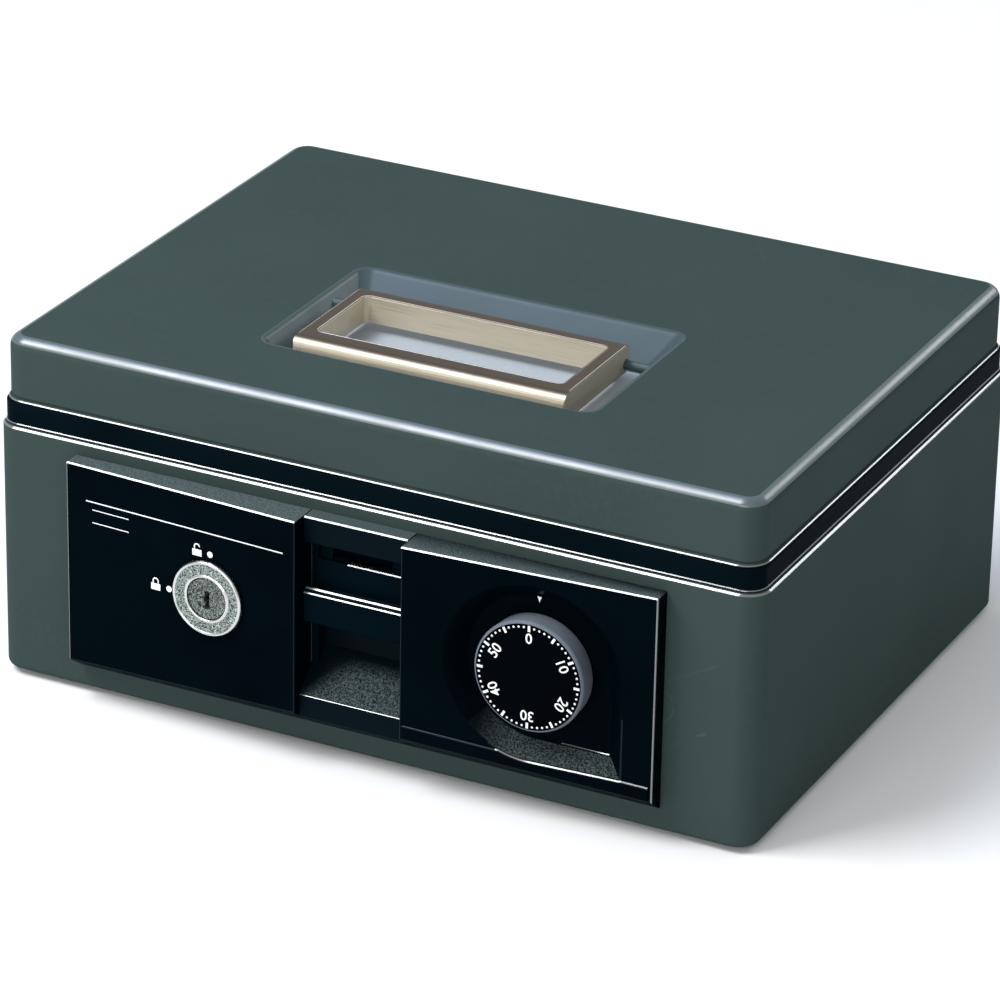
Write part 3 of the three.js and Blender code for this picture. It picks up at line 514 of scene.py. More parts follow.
# ---- The front's places ----
dial_lo, dial_hi = local_box("dial_knob")
right_lo, right_hi = local_box("panel_dial_side")
DIAL_X = (dial_lo.x + dial_hi.x) / 2
LOCK_Z = (dial_lo.z + dial_hi.z) / 2
PANEL_HALF = right_hi.x
COLUMN_HALF = right_lo.x
PANEL_TOP = right_hi.z
PANEL_BOTTOM = 9.0  # at the tub's wall; the underside rises by UNDERCUT for each millimetre forward
UNDERCUT = 0.7
FACE_BOTTOM = PANEL_BOTTOM + 5.5  # lower edge of the plates' faces, near enough to divide them by
PROUD_OUTER = 7.5
PROUD_INNER = 13.0
PLATE_BACK = 0.3  # gap between the plates and the tub's wall
TILT = math.atan((PROUD_INNER - PROUD_OUTER) / (PANEL_HALF - COLUMN_HALF))
KEY_X = -56.1
PLATE_GLINT = 0.32  # width of the bright edge along the top of the plates and of the latch housing
# Painted shade: the recess slope's painted-highlight specks fade out towards its left.
GRAIN_FADE = [at(DIAL_X + dx, 0, 0).x for dx in (-21, -7)]
GRAIN = grained("panel_grain", (0.001, 0.003, 0.004), GRAIN_PAINTED_HIGHLIGHT, 0.5, 0.03, fade=GRAIN_FADE)


def front(proud):
    """The y of a point that stands proud of the tub's front wall."""
    return -(HALF_D + proud)


def wedge(x):
    """How proud the plates' faces are at x."""
    return PROUD_OUTER + (PROUD_INNER - PROUD_OUTER) * (PANEL_HALF - abs(x)) / (PANEL_HALF - COLUMN_HALF)


# ---- Lid ----
def make_lid():
    """One sheet: hem, walls, rounded top edge, top, and down into the well round the handle."""
    lo, hi = local_box("lid_shell")
    flare, fillet, corner = 0.9, 4.6, 8.2
    half_w, half_d = hi.x - flare, (hi.y - lo.y) / 2 - flare
    bottom, top = lo.z, hi.z
    # The hem: a bright arris between two small rounds, and a groove above it; the arris's light grey is a
    # painted highlight.
    levels = [(bottom, flare - 0.35), (bottom + 0.1, flare - 0.06), (bottom + 0.26, flare)]
    levels += [(bottom + 0.32, flare - 0.03), (bottom + 0.66, flare - 0.37), (bottom + 0.7, flare - 0.44)]
    levels += [(bottom + 0.8, -0.4), (bottom + 1.4, -0.5), (bottom + 1.7, -0.1), (bottom + 2.1, 0)]
    hem = 3
    fillet_start = len(levels)
    levels += [(z, out) for out, z in arc((-fillet, top - fillet), fillet, 0, 90, 10)]
    fillet_end = len(levels) - 1
    rings = stack(half_w, half_d, corner, levels)
    # The well: its outline at the floor, and what the slope adds to that up to the top.
    base_half, base_near, base_far, base_corner = 57.5, -69, -8, 3.4
    more_half, more_near, more_far, more_corner = 7.5, -0.5, 16, 1.5
    depth = top - 119.5
    # Its levels, from the rounded rim to the rounded foot: the share of the way up the slope, an offset
    # outwards, and the drop below the lid's top, or below the floor for the foot.
    rim = ((1.0, 1.9, 0), (1.0, 1.2, 0.06), (1.0, 0.55, 0.3), (1.0, 0.1, 0.75), (0.95, 0, 1.3))
    foot = ((0.12, 0, -1.3), (0.05, -0.2, -0.62), (0.0, -0.7, -0.22), (0, -1.5, -0.04), (0, -2.4, 0))
    for share, out, drop in rim + tuple((share, out, depth + drop) for share, out, drop in foot):
        half = base_half + more_half * share + out
        near = base_near + more_near * share - out
        far = base_far + more_far * share + out
        rings.append(ring(-half, half, near, far, base_corner + more_corner * share + out, top - drop))
    # The middle of the top fillet gets the lighter edge enamel and the hem's arris the bright edge material,
    # both painted highlights; the well's floor gets a much lighter grey, a painted reflection.
    indices = []
    for level in range(len(rings) - 1):
        if level == hem:
            index = 4
        elif fillet_start + 3 <= level < fillet_end - 1:
            index = 1
        elif level > fillet_end:
            index = 3 if level > len(rings) - 4 else 2
        else:
            index = 0
        indices += [index] * len(rings[0])
    indices.append(3)
    materials = [PAINT, PAINT_EDGE_HIGHLIGHT, PAINT_WELL, WELL_FLOOR_REFLECTION, EDGE_PAINTED_HIGHLIGHT]
    make("lid_skin", skin(rings, last=True), materials, "lid", ["lid_shell"],
         thickness=1.1, indices=indices)


# ---- Tub ----
CORNER = 8.8


def strike_notch():
    """Room for the lid's strike in the tub's folded edge and in the rim's foot."""
    return cutter("strike_notch", block(-13, 13, -108, -100, TUB_TOP - 3, TUB_TOP + 4.3))


def make_tub():
    """Bottom, walls and folded-in top edge, inside and out, as one closed sheet."""
    foot, sheet, fold = 2.6, 1.1, 9.95
    levels = [(0, -foot)] + [(z, out) for out, z in arc((-foot, foot), foot, -80, 0, 6)]
    levels += [(TUB_TOP - 0.9, 0), (TUB_TOP - 0.82, -0.03), (TUB_TOP - 0.2, -0.65), (TUB_TOP - 0.03, -0.9)]
    edge = len(levels) - 3
    levels += [(TUB_TOP, 0.35 - fold), (TUB_TOP - 0.3, -fold)]
    levels += [(TUB_TOP - 0.8, -fold), (TUB_TOP - sheet, 0.35 - fold)]
    levels += [(TUB_TOP - sheet, -sheet - 0.7), (TUB_TOP - sheet - 0.7, -sheet)]
    levels += [(foot + sheet, -sheet), (sheet + 1.0, -sheet - 0.5), (sheet, -sheet - foot)]
    rings = stack(HALF_W, HALF_D, CORNER, levels)
    # The 45-degree band at the top edge gets the bright edge material, a painted highlight on a real chamfer.
    indices = []
    for level in range(len(rings) - 1):
        indices += [1 if level == edge else 0] * len(rings[0])
    window = cutter("latch_window", block(-19.5, 19.5, front(3), front(-3), 23.5, 90.5))
    make("tub_skin", skin(rings, True, True), [PAINT, EDGE_PAINTED_HIGHLIGHT], "case", ["body_shell"],
         cuts=[window, strike_notch()], indices=indices + [0, 0])


def make_rim():
    """The black frame: a bead along its foot, made bright with a painted highlight, an upright wall, and a flat
    foot inside.
    """
    lo, hi = local_box("rim_frame")
    corner, outer_levels, bead = CORNER - 1.1, 12, 3
    half_w, half_d = hi.x, (hi.y - lo.y) / 2
    levels = [(lo.z, -0.6), (lo.z + 0.1, -0.3), (lo.z + 0.3, 0), (lo.z + 0.36, 0), (lo.z + 0.66, -0.3)]
    levels += [(lo.z + 0.75, -0.33), (hi.z - 0.7, -0.33), (hi.z - 0.25, -0.45), (hi.z, -0.9)]
    levels += [(hi.z, -1.8), (hi.z - 0.4, -2.3), (lo.z + 3, -2.4), (lo.z + 2.2, -2.8), (lo.z + 2.0, -8.2)]
    levels += [(lo.z + 1.6, -8.7), (lo.z + 0.4, -8.7), (lo.z, -8.4)]
    rings = stack(half_w, half_d, corner, levels[:outer_levels]) + [
        ring(-half_w - out, half_w + out, -half_d - out, half_d + out, corner + out if out > -3 else 4, z)
        for z, out in levels[outer_levels:]
    ]
    indices = []
    for level in range(len(rings)):
        indices += [1 if level == bead else 0] * len(rings[0])
    make("rim_band", skin(rings, loop=True), [RIM, EDGE_PAINTED_HIGHLIGHT], "case", ["rim_frame"],
         cuts=[strike_notch()], indices=indices)


# ---- Key-side plate ----
def sort_plate(centre, normal, index):
    """Grey on the top face; the painted-highlight edge material on the edges that face up and on the outer
    upright ones, dark below.
    """
    if normal.z > 0.9 and centre.z > PANEL_TOP - 0.2:
        return 2
    if index != 1:
        return index
    upright = 1 if abs(centre.x) > PANEL_HALF - 1 else 3
    return 1 if normal.z > 0.3 else 0 if normal.z < -0.2 else upright


def make_key_plate():
    """A plain wedge with softened edges and a bore for the lock."""
    inner, outer = -COLUMN_HALF, -PANEL_HALF
    bore = [(10.4, front(-2)), (10.4, front(20))]
    points = []
    for x, proud in ((inner, PROUD_INNER), (outer, PROUD_OUTER)):
        for d in (PLATE_BACK, proud):
            points.append((x, front(d), PANEL_BOTTOM + UNDERCUT * d))
            points.append((x, front(d), PANEL_TOP))
    faces = [(0, 1, 3, 2), (4, 6, 7, 5), (0, 4, 5, 1), (2, 3, 7, 6), (1, 5, 7, 3), (0, 2, 6, 4)]
    hole = cutter("key_bore", skin(turned(bore, 64, (KEY_X, LOCK_Z)), True, True))
    make("key_plate", (points, faces), [GLOSS, EDGE_PAINTED_HIGHLIGHT, PANEL_GREY, SOFT_EDGE], "case", ["panel_key_side"],
         bevel=0.4, cuts=[hole], sort=sort_plate)
    ends = (outer + 0.3, inner - 0.1)
    glint("key_plate_glint", [(x, wedge(x), PANEL_TOP) for x in ends], PLATE_GLINT, "case")


# ---- Dial-side plate: polar rings from the plate's edge to the recess and down to its floor ----
RECESS_R = 33.3
RECESS_SLOPE = 6.0
RECESS_FLOOR = 3.5
SPINDLE_HOLE = 4.2


def recess_radius(a):
    """The recess's outline: a circle, squared off in the lower right quarter."""
    if a > 1.5 * math.pi:
        return RECESS_R / max(abs(math.cos(a)), abs(math.sin(a)))
    return RECESS_R


def plate_radius(a):
    """How far from the dial's axis the plate ends in the direction a."""
    c, s = math.cos(a), math.sin(a)
    reach = []
    if abs(c) > 1e-9:
        reach.append(((PANEL_HALF if c > 0 else COLUMN_HALF) - DIAL_X) / c)
    if abs(s) > 1e-9:
        reach.append(((PANEL_TOP if s > 0 else FACE_BOTTOM) - LOCK_Z) / s)
    return min(r for r in reach if r > 0)


def make_dial_plate():
    """The plate with its recess, as rings of equally many points, one at each of the angles."""
    corners = [
        math.atan2(z - LOCK_Z, x - DIAL_X) % math.tau
        for x in (COLUMN_HALF, PANEL_HALF)
        for z in (FACE_BOTTOM, PANEL_TOP)
    ]
    steps = 192
    angles = sorted([math.tau * i / steps for i in range(steps)] + corners + [1.75 * math.pi])
    angles = [a for i, a in enumerate(angles) if i == 0 or a - angles[i - 1] > 0.002]

    def outside(inset, sunk):
        """The plate's edge, inset on its face and sunk below it."""
        out = []
        for a in angles:
            r = plate_radius(a)
            x = DIAL_X + r * math.cos(a)
            z = LOCK_Z + r * math.sin(a)
            x = min(max(x, COLUMN_HALF + inset), PANEL_HALF - inset)
            proud = wedge(x) - sunk
            low = PANEL_BOTTOM + UNDERCUT * proud
            if z < LOCK_Z:
                share = (LOCK_Z - z) / (LOCK_Z - FACE_BOTTOM)
                z = LOCK_Z - share * (LOCK_Z - low - inset)
            else:
                z = min(z, PANEL_TOP - inset)
            out.append((x, front(proud), z))
        return out

    def back():
        """The plate's edge at the tub's wall."""
        out = []
        for x, y, z in outside(0, 0):
            low = PANEL_BOTTOM - UNDERCUT * (y + HALF_D)
            if z < LOCK_Z:
                share = (LOCK_Z - z) / (LOCK_Z - low)
                z = LOCK_Z - share * (LOCK_Z - PANEL_BOTTOM - UNDERCUT * PLATE_BACK)
            out.append((x, front(PLATE_BACK), z))
        return out

    def inside(offset, sunk=0.0, floor=False):
        """The recess's outline, offset outwards: sunk below the plate's face, or above the recess's floor."""
        out = []
        for a in angles:
            r = recess_radius(a) * (RECESS_R + offset) / RECESS_R
            x = DIAL_X + r * math.cos(a)
            z = LOCK_Z + r * math.sin(a)
            proud = RECESS_FLOOR + sunk if floor else wedge(x) - sunk
            out.append((x, front(proud), z))
        return out

    def slope(share, lift=0.0):
        """A ring on the recess's sloping wall, share of the way down it."""
        upper, lower = inside(0), inside(-RECESS_SLOPE, 0, True)
        out = []
        for u, v in zip(upper, lower):
            x, y, z = (p + (q - p) * share for p, q in zip(u, v))
            out.append((x, y - lift, z))
        return out

    rings = [back(), outside(0, 0.5), outside(0.06, 0.22), outside(0.22, 0.06), outside(0.5, 0)]
    rings += [inside(0.7), inside(0.3, 0.04), inside(0.08, 0.2), slope(0.06), slope(0.5), slope(0.9)]
    rings += [slope(0.97, 0.12), inside(-RECESS_SLOPE - 0.7, 0.02, True), inside(-RECESS_SLOPE - 2, 0, True)]
    hole = [
        (DIAL_X + SPINDLE_HOLE * math.cos(a), front(RECESS_FLOOR), LOCK_Z + SPINDLE_HOLE * math.sin(a))
        for a in angles
    ]
    rings += [hole, [(x, front(PLATE_BACK), z) for x, _, z in hole]]
    edges, walls = (1, 2, 3, 5, 6), (7, 8, 9)
    indices = []
    for level in range(len(rings)):
        indices += [1 if level in edges else 4 if level in walls else 0] * len(angles)

    def sort(centre, normal, index):
        """Grey on the top face, and grain with painted-highlight specks only on the lower, upward-facing part
        of the recess's wall, where light falls.
        """
        if index == 4:
            return 4 if LOCK_Z - centre.z > abs(centre.x - DIAL_X) * 0.99 else 0
        if index == 1 and abs(centre.x - DIAL_X) < RECESS_R + 1 and abs(centre.z - LOCK_Z) < RECESS_R + 1:
            return 0 if centre.z > LOCK_Z - 10 or centre.x < DIAL_X - 16 else 3
        return sort_plate(centre, normal, index)

    make("dial_plate", skin(rings, loop=True), [GLOSS, EDGE_PAINTED_HIGHLIGHT, PANEL_GREY, SOFT_EDGE, GRAIN], "case",
         ["panel_dial_side"], indices=indices, sort=sort)
    ends = (COLUMN_HALF + 0.1, PANEL_HALF - 0.3)
    glint("dial_plate_glint", [(x, wedge(x), PANEL_TOP) for x in ends], PLATE_GLINT, "case")
    low = LOCK_Z - RECESS_R + RECESS_SLOPE
    ends = (DIAL_X + 9, DIAL_X + RECESS_R - RECESS_SLOPE)
    glint("recess_glint", [(x, RECESS_FLOOR + 0.4, low + 0.1) for x in ends], 0.2, "case")


def make_lip():
    """The lower band of the dial side, a little prouder than the plate, with a bright upper edge whose glint is
    a painted highlight.
    """
    below_recess = 0.5

    def top(x):
        """The band's upper edge: sloping with the plate, and kept below the recess."""
        z = PANEL_BOTTOM + 5.6 + 0.74 * wedge(x)
        dx = x - DIAL_X
        if -RECESS_R < dx < 0:
            z = min(z, LOCK_Z - math.sqrt(RECESS_R**2 - dx**2) - below_recess)
        elif 0 <= dx < RECESS_R + 0.5:
            z = min(z, LOCK_Z - RECESS_R - below_recess)
        return z

    rings = []
    steps = 120
    for i in range(steps + 1):
        x = COLUMN_HALF + 0.9 + (PANEL_HALF - COLUMN_HALF - 2.3) * i / steps
        w, t = wedge(x), top(x)
        low = PANEL_BOTTOM + UNDERCUT * w
        rings.append(
            [
                (x, front(w - 0.4), t - 0.1),
                (x, front(w + 0.1), t - 0.1),
                (x, front(w + 0.5), t - 0.45),
                (x, front(w + 0.55), t - 0.7),
                (x, front(w + 0.5), low + 1.0),
                (x, front(w - 0.4), low + 0.4),
            ]
        )
    indices = [1, 1, 1, 0, 0, 0] * steps + [0, 0]
    make("dial_plate_lip", skin(rings, True, True), [GLOSS, SOFT_EDGE], "case",
         indices=indices)
    bright = [DIAL_X - 13 + (PANEL_HALF - DIAL_X + 11.5) * i / steps for i in range(steps + 1)]
    glint("lip_glint", [(x, wedge(x) + 0.5, top(x)) for x in bright], 0.27, "case")


# ---- Key lock ----
def lock_frame(obj):
    """Turns a piece made square to the front about the key lock's axis, to lie on its wedge."""
    pivot = at(KEY_X, front(wedge(KEY_X)), LOCK_Z)
    turn = Matrix.Translation(pivot) @ Matrix.Rotation(-TILT, 4, "Z") @ Matrix.Translation(-pivot)
    obj.data.transform(turn)


def make_key_lock():
    """The lock's face ring: two polished beads with a frosted band sunk between them, on a plain barrel."""
    face = front(wedge(KEY_X))
    back = face + 20
    bore, barrel, outer = 8.05, 9.6, 14.3
    band = (9.1, 13)
    profile = [
        (bore, back),
        (bore, face - 1.5),
        (8.15, face - 1.9),
        (8.45, face - 2.05),
        (8.8, face - 2.0),
        (9.0, face - 1.7),
        (9.2, face - 1.62),
        (12.9, face - 1.62),
        (13.1, face - 1.7),
        (13.25, face - 1.98),
        (13.6, face - 2.05),
        (13.95, face - 1.9),
        (14.2, face - 1.5),
        (outer, face - 1.0),
        (outer, face - 0.3),
        (barrel, face - 0.3),
        (barrel, back),
    ]
    ring_piece = make(
        "key_ring",
        skin(turned(profile, 96, (KEY_X, LOCK_Z)), loop=True),
        [LOCK_RIM, LOCK_FACE],
        "case",
        ["key_cylinder"],
    )
    for p in ring_piece.data.polygons:
        c = (p.center - ORIGIN) / MM
        r = math.hypot(c.x - KEY_X, c.z - LOCK_Z)
        if band[0] < r < band[1] and c.y < face - 1.4:
            p.material_index = 1
    lock_frame(ring_piece)


# ---- Signs printed in white ----
def circle_points(radius, count, cx=0.0, cz=0.0):
    return [
        (cx + radius * math.cos(math.tau * i / count), cz + radius * math.sin(math.tau * i / count))
        for i in range(count)
    ]


def add_sign(points, faces, outline, place, height, quads=None):
    """Adds a sign to a mesh: its face, whole or in quads, and walls that end just under the surface.

    place gives the point for an outline's two coordinates and a height above the surface."""
    base, n = len(points), len(outline)
    for lift in (height, -0.05):
        points.extend(place(u, v, lift) for u, v in outline)
    for corners in quads or [range(n)]:
        faces.append(tuple(base + i for i in corners))
    for i in range(n):
        j = (i + 1) % n
        faces.append((base + i, base + j, base + n + j, base + n + i))


# ---- Dial ----
def turn_to_dial(angle, radius, lift):
    """The place and directions of something drawn on the dial's face, angle clockwise from its top."""
    right = Vector((math.cos(angle), 0, -math.sin(angle)))
    up = Vector((math.sin(angle), 0, math.cos(angle)))
    spot = at(DIAL_X, dial_lo.y - lift, LOCK_Z) + up * radius * MM
    axes = Matrix((right, up, right.cross(up))).transposed().to_4x4()
    return Matrix.Translation(spot) @ axes


TICK_RADIUS = 18.9


def make_dial_cap():
    """The knob: a face with a fine groove, a rounded rim, a side, and hollow behind."""
    face, back = dial_lo.y, dial_hi.y
    radius, groove, fillet, steps = 21.0, 11.4, 1.3, 6
    inner, hub, bore, deep = 18.5, 7, 3.25, 6
    profile = [(0.01, face), (groove - 0.2, face), (groove, face + 0.1), (groove + 0.2, face)]
    side_start = len(profile) + 1
    profile += [(x, face + fillet - z) for x, z in arc((radius - fillet, 0), fillet, 90, 0, steps)]
    profile += [(radius - 0.5, back - 1.2), (radius - 0.45, back - 0.6), (radius - 0.8, back)]
    profile += [(inner, back), (inner, back - 5.5), (hub, back - 5.5), (hub, back)]
    profile += [(bore, back), (bore, back - deep), (0.01, back - deep)]
    segments = 128
    indices = []
    for level in range(len(profile) - 1):
        indices += [1 if side_start <= level < side_start + steps + 2 else 0] * segments
    make("dial_cap", skin(turned(profile, segments, (DIAL_X, LOCK_Z)), first=True, last=True),
         [DIAL_BLACK, DIAL_SIDE], "dial", ["dial_knob"], indices=indices + [0, 0])


def make_dial_marks():
    """Sixty divisions: a bar at every fifth and a dot at the others."""
    points, faces = [], []
    half, low, high = 0.45, TICK_RADIUS - 1.5, TICK_RADIUS + 0.7

    def place(x, z, lift):
        return DIAL_X + x, dial_lo.y - lift, LOCK_Z + z

    for unit in range(60):
        a = math.radians(90 - 6 * unit)
        c, s = math.cos(a), math.sin(a)
        if unit % 5:
            outline = circle_points(0.42, 12, TICK_RADIUS * c, TICK_RADIUS * s)
        else:
            ends = ((low, -half), (low, half), (high, half), (high, -half))
            outline = [(r * c + w * s, r * s - w * c) for r, w in ends]
        add_sign(points, faces, outline, place, 0.05)
    make("dial_marks", (points, faces), INK, "dial")


def make_dial_numerals():
    """Numbers every ten, upright from the dial's middle."""
    for tens in range(6):
        text = bpy.data.curves.new("numeral", "FONT")
        text.body = str(10 * tens)
        text.size = 5.4 * MM
        text.offset = 0.04 * MM
        text.extrude = 0.03 * MM
        text.align_x = "CENTER"
        text.align_y = "CENTER"
        source = link("numeral", text)
        bpy.context.view_layer.update()
        mesh = bpy.data.meshes.new_from_object(source.evaluated_get(bpy.context.evaluated_depsgraph_get()))
        bpy.data.objects.remove(source)
        mesh.transform(turn_to_dial(math.radians(60 * tens), TICK_RADIUS - 4.3, 0.03))
        mesh.materials.clear()
        mesh.materials.append(INK)
        obj = link(f"dial_numeral_{10 * tens}", mesh)
        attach(obj, "dial")


def make_dial_marker():
    """The small triangle above the dial, which points down at it."""
    half, across, up = 1.1, DIAL_X - 0.8, LOCK_Z + 25.4
    marker = [(-0.85, half), (0.85, half), (0, -half)]
    points = [(across + x, front(RECESS_FLOOR + 0.05), up + z) for x, z in marker]
    points += [(x, front(RECESS_FLOOR), z) for x, _, z in points]
    faces = [(0, 1, 2), (3, 5, 4), (0, 3, 4, 1), (1, 4, 5, 2), (2, 5, 3, 0)]
    make("dial_marker", (points, faces), INK, "case")


# ---- Printed rules, dots and padlock signs on the key-side plate ----
def padlock_outlines(x, z, is_open):
    """A padlock sign about (x, z): its body, and its shackle, which stands on one foot when it is open."""
    half_w, low, high = 1.9, z - 2.1, z + 0.4
    body = [(x - half_w, low), (x + half_w, low), (x + half_w, high), (x - half_w, high)]
    inner, outer, leg, steps = 0.8, 1.3, 1.0, 8
    upper = [(x + u, v) for u, v in arc((0, high + leg), outer, 0, 180, steps)]
    lower = [(x + u, v) for u, v in arc((0, high + leg), inner, 0, 180, steps)]
    right_foot = high + (leg if is_open else 0)
    shackle = [(x + outer, right_foot)] + upper + [(x - outer, high), (x - inner, high)]
    shackle += lower[::-1] + [(x + inner, right_foot)]
    return body, shackle


def make_prints():
    """The plain rules, and a dot with its padlock sign at each of the key's two positions."""
    points, faces = [], []

    def place(x, z, lift):
        return x, front(wedge(x) + lift), z

    def sign(outline, quads=None):
        add_sign(points, faces, outline, place, 0.06, quads)

    rules = ((-107.5, -25.5, 79.2, 0.42), (-104.8, -89.5, 76.2, 0.3), (-104.8, -89.5, 71.2, 0.3))
    for x0, x1, z, width in rules:
        low, high = z - width / 2, z + width / 2
        sign([(x0, low), (x1, low), (x1, high), (x0, high)])
    for dx, dz in ((0.6, 16.8), (-16.6, -1.0)):
        sign(circle_points(1.15, 20, KEY_X + dx, LOCK_Z + dz))
    for dx, dz, is_open in ((-4.8, 17.2, True), (-22.2, -0.6, False)):
        body, shackle = padlock_outlines(KEY_X + dx, LOCK_Z + dz, is_open)
        sign(body)
        n = len(shackle)
        sign(shackle, [(k, k + 1, n - 2 - k, n - 1 - k) for k in range(n // 2 - 1)])
    make("key_plate_prints", (points, faces), INK, "case")


# ---- CAD nodes that keep their shape ----
def dress(nodes, material, bevel=0.0):
    """Gives CAD nodes a material, softened edges and smooth shading."""
    for name in nodes:
        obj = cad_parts[name]
        obj.data.materials.clear()
        obj.data.materials.append(material)
        add_modifier(obj, "DECIMATE", decimate_type="DISSOLVE", angle_limit=0.004)
        if bevel:
            add_modifier(obj, "BEVEL", width=bevel * MM, segments=2, limit_method="ANGLE", angle_limit=0.6)
        shade(obj)


def dress_handle():
    """Champagne frame with a darker bronze top that is a painted reflection, and bright edges round the top of
    its bars and opening that are a painted highlight.
    """
    dress(["handle"], GOLD)
    lo, hi = local_box("handle")
    top = hi.z
    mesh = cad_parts["handle"].data
    top_reflection = brushed_gold("handle_top_painted_reflection", GOLD_COLOR, 0.45, 0.36, at(0, 0, top).z, BRONZE_TOP_REFLECTION)
    mesh.materials.append(top_reflection)
    # Painted reflection: every face that looks up gets the darker top.
    for p in mesh.polygons:
        p.material_index = 1 if p.normal.z > 0.05 else 0
    side_bar, front_bar, rear_bar, corner, width = 5, 9, 7.8, 2.5, 0.5
    opening = (lo.x + side_bar, hi.x - side_bar, lo.y + front_bar, hi.y - rear_bar)

    def line(out, z):
        return ring(opening[0] - out, opening[1] + out, opening[2] - out, opening[3] + out, corner + out, z)

    # Painted highlight: light champagne lips along the top edges of the bars and opening.
    highlight_lips = [skin([line(-0.15, top - width), line(width, top + 0.1), line(width, top - width)], loop=True)]
    near_round, rear_round = 4.5, 4
    for x, inward in ((lo.x - 0.1, 1), (hi.x + 0.1, -1)):
        ends = [
            [(x, y, top - width), (x + inward * width, y, top + 0.1), (x + inward * width, y, top - width)]
            for y in (lo.y + near_round, hi.y - rear_round)
        ]
        highlight_lips.append(skin(ends, True, True))
    for i, shape in enumerate(highlight_lips):
        make(f"handle_highlight_lip_{i}", shape, GOLD_EDGE_HIGHLIGHT, "carry_handle")


def dress_latch():
    """The latch's housing and lever, and the bright edges across them, which are painted highlights on polished
    chamfers.
    """
    housing_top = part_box("latch_housing")[1].z - 0.1 * MM
    slope_top, shade_top = at(0, 0, 44).z, at(0, 0, 37).z
    top_color = tuple(c * 1.3 for c in ENAMEL)
    housing = latch_plastic(
        "latch_housing_satin", SATIN_BLACK, top_color, GRAIN_PAINTED_HIGHLIGHT, housing_top, slope_top, shade_top
    )
    dress(["latch_housing"], housing)
    dress(["latch_lever"], SATIN)
    edges = (
        ("block_glint", (-20.2, 20.2), 6.95, PANEL_TOP, PLATE_GLINT, "case"),
        ("sill_glint", (-20.2, 20.2), 9.85, 24.55, 0.28, "case"),
        ("bar_glint", (-19.2, 19.2), 8.8, 64.6, 0.65, "lever"),
        ("bar_rear_glint", (-19.2, 19.2), 7.75, 65.3, 0.65, "lever"),
        ("web_glint", (-5, 16.9), 3.25, 75.55, 0.25, "lever"),
    )
    for name, ends, proud, z, width, body in edges:
        glint(name, [(x, proud, z) for x in ends], width, body)


def cad(prefix):
    """The names of the CAD nodes that start with prefix."""
    return [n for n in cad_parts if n.startswith(prefix)]


make_lid()
make_tub()
make_rim()
make_key_plate()
make_dial_plate()
make_lip()
make_key_lock()
make_dial_cap()
make_dial_marks()
make_dial_numerals()
make_dial_marker()
make_prints()
dress_handle()
dress_latch()
dress(["key_plug"], LOCK_PLUG)
dress(["latch_pivot_pin", "latch_slide", "key_cam", "key_cam_screw"] + cad("case_screw"), ZINC, 0.15)
dress(["fence_lever", "fence_stud", "dial_spindle", "lid_strike"] + cad("handle_bracket"), ZINC, 0.2)
dress(cad("handle_pin"), PAINT_WELL)
dress(["lock_case"], PRESSED, 0.3)
dress(cad("hinge_body_leaf") + cad("hinge_lid_leaf") + cad("tray_rail"), PRESSED, 0.2)
dress(cad("hinge_pin"), SPRING)
dress(["latch_lever_spring"], BLACKED)
dress(["key_cylinder_nut", "wheel_post", "tumbler_wheel_1", "tumbler_wheel_2", "drive_wheel"], BRASS, 0.15)
dress(cad("foot_"), RUBBER)
dress(["coin_tray"], TRAY, 0.6)
dress(["floor_mat"], FELT, 0.4)


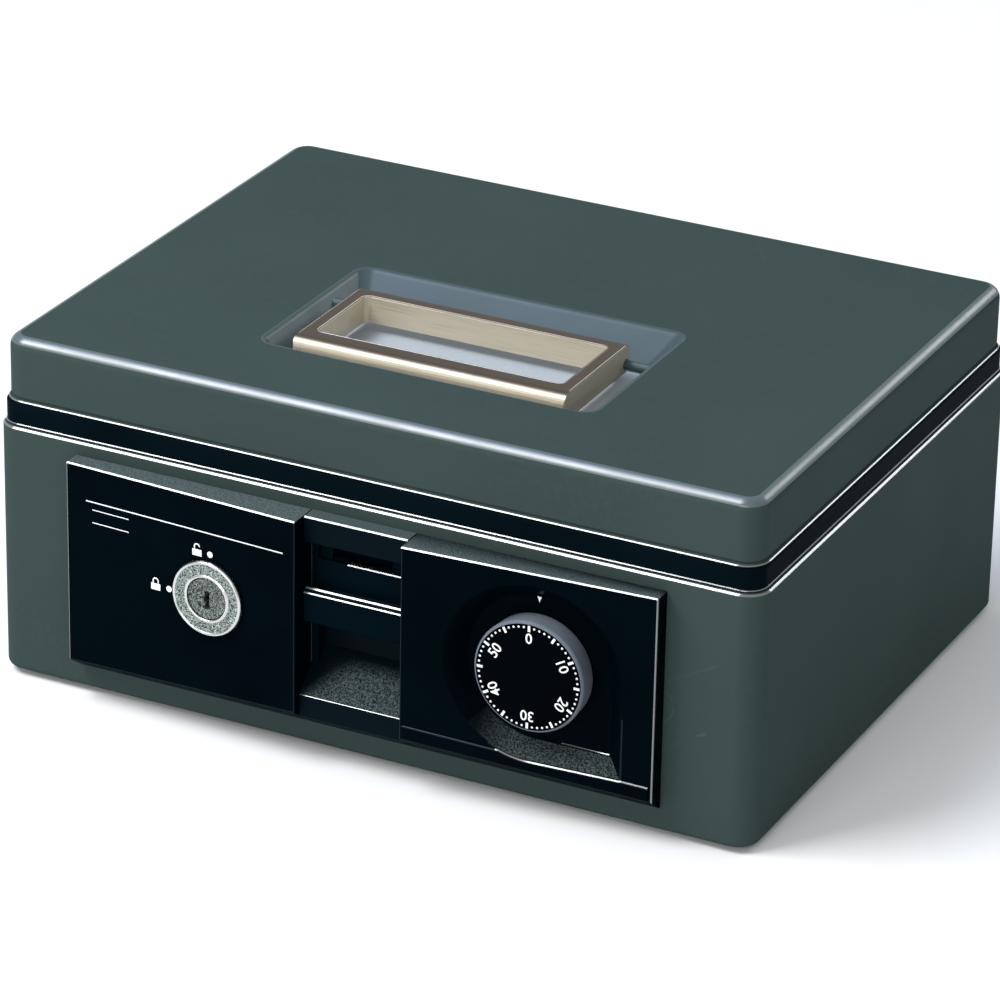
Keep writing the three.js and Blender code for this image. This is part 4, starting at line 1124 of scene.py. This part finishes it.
# ---- Floor, light and camera ----
def make_floor():
    reach = 12
    corners = [(-reach, -reach, 0), (reach, -reach, 0), (reach, reach, 0), (-reach, reach, 0)]
    mesh = bpy.data.meshes.new("floor")
    mesh.from_pydata(corners, [], [(0, 1, 2, 3)])
    floor = link("floor", mesh)
    mesh.materials.append(Nodes("floor_paper", (0.82, 0.82, 0.82), 0.9, Specular_IOR_Level=0.1).material)


def area_light(name, location, size, power, color=(1, 1, 1)):
    """A soft light aimed at the middle of the box."""
    light = bpy.data.lights.new(name, "AREA")
    light.shape = "RECTANGLE"
    light.size, light.size_y = size
    light.energy = power
    light.color = color
    obj = link(name, light)
    obj.location = location
    towards = Vector((0, 0, 0.07)) - Vector(location)
    obj.rotation_euler = towards.to_track_quat("-Z", "Y").to_euler()


def make_light():
    """A pale room, a key light from the upper left, and fainter lights above, behind and in front."""
    world = bpy.data.worlds.new("studio")
    world.use_nodes = True
    background = world.node_tree.nodes["Background"]
    background.inputs["Color"].default_value = (0.95, 0.97, 1, 1)
    background.inputs["Strength"].default_value = 0.55
    bpy.context.scene.world = world
    area_light("key", (-0.85, -0.85, 1.7), size=(0.9, 0.9), power=36)
    area_light("overhead", (-0.75, -0.15, 1.8), size=(0.7, 0.7), power=11, color=(0.56, 0.66, 1))
    area_light("back_right", (0.75, 1.75, 0.95), size=(0.8, 0.5), power=7, color=(0.92, 0.96, 1))
    area_light("front_fill", (0.2, -2.0, 0.9), size=(1.4, 0.8), power=16)


def make_camera():
    """A long lens, turned 26 degrees to the right of the front and 25 degrees above it."""
    place = at(782.1, -1603.8, 882.9)
    azimuth, elevation, roll = math.radians(26.095), math.radians(24.913), math.radians(1.161)
    level = math.cos(elevation)
    back = Vector((math.sin(azimuth) * level, -math.cos(azimuth) * level, math.sin(elevation)))
    right = (-back).cross(Vector((0, 0, 1))).normalized()
    up = right.cross(-back)
    right, up = (
        math.cos(roll) * right + math.sin(roll) * up,
        -math.sin(roll) * right + math.cos(roll) * up,
    )
    camera = bpy.data.cameras.new("camera")
    camera.sensor_width = 36
    camera.lens = 193.14
    camera.clip_start = 0.05
    camera.clip_end = 60
    obj = link("camera", camera)
    obj.matrix_world = Matrix.Translation(place) @ Matrix((right, up, back)).transposed().to_4x4()
    bpy.context.scene.camera = obj


make_floor()
make_light()
make_camera()
bpy.context.scene.view_settings.view_transform = "Standard"
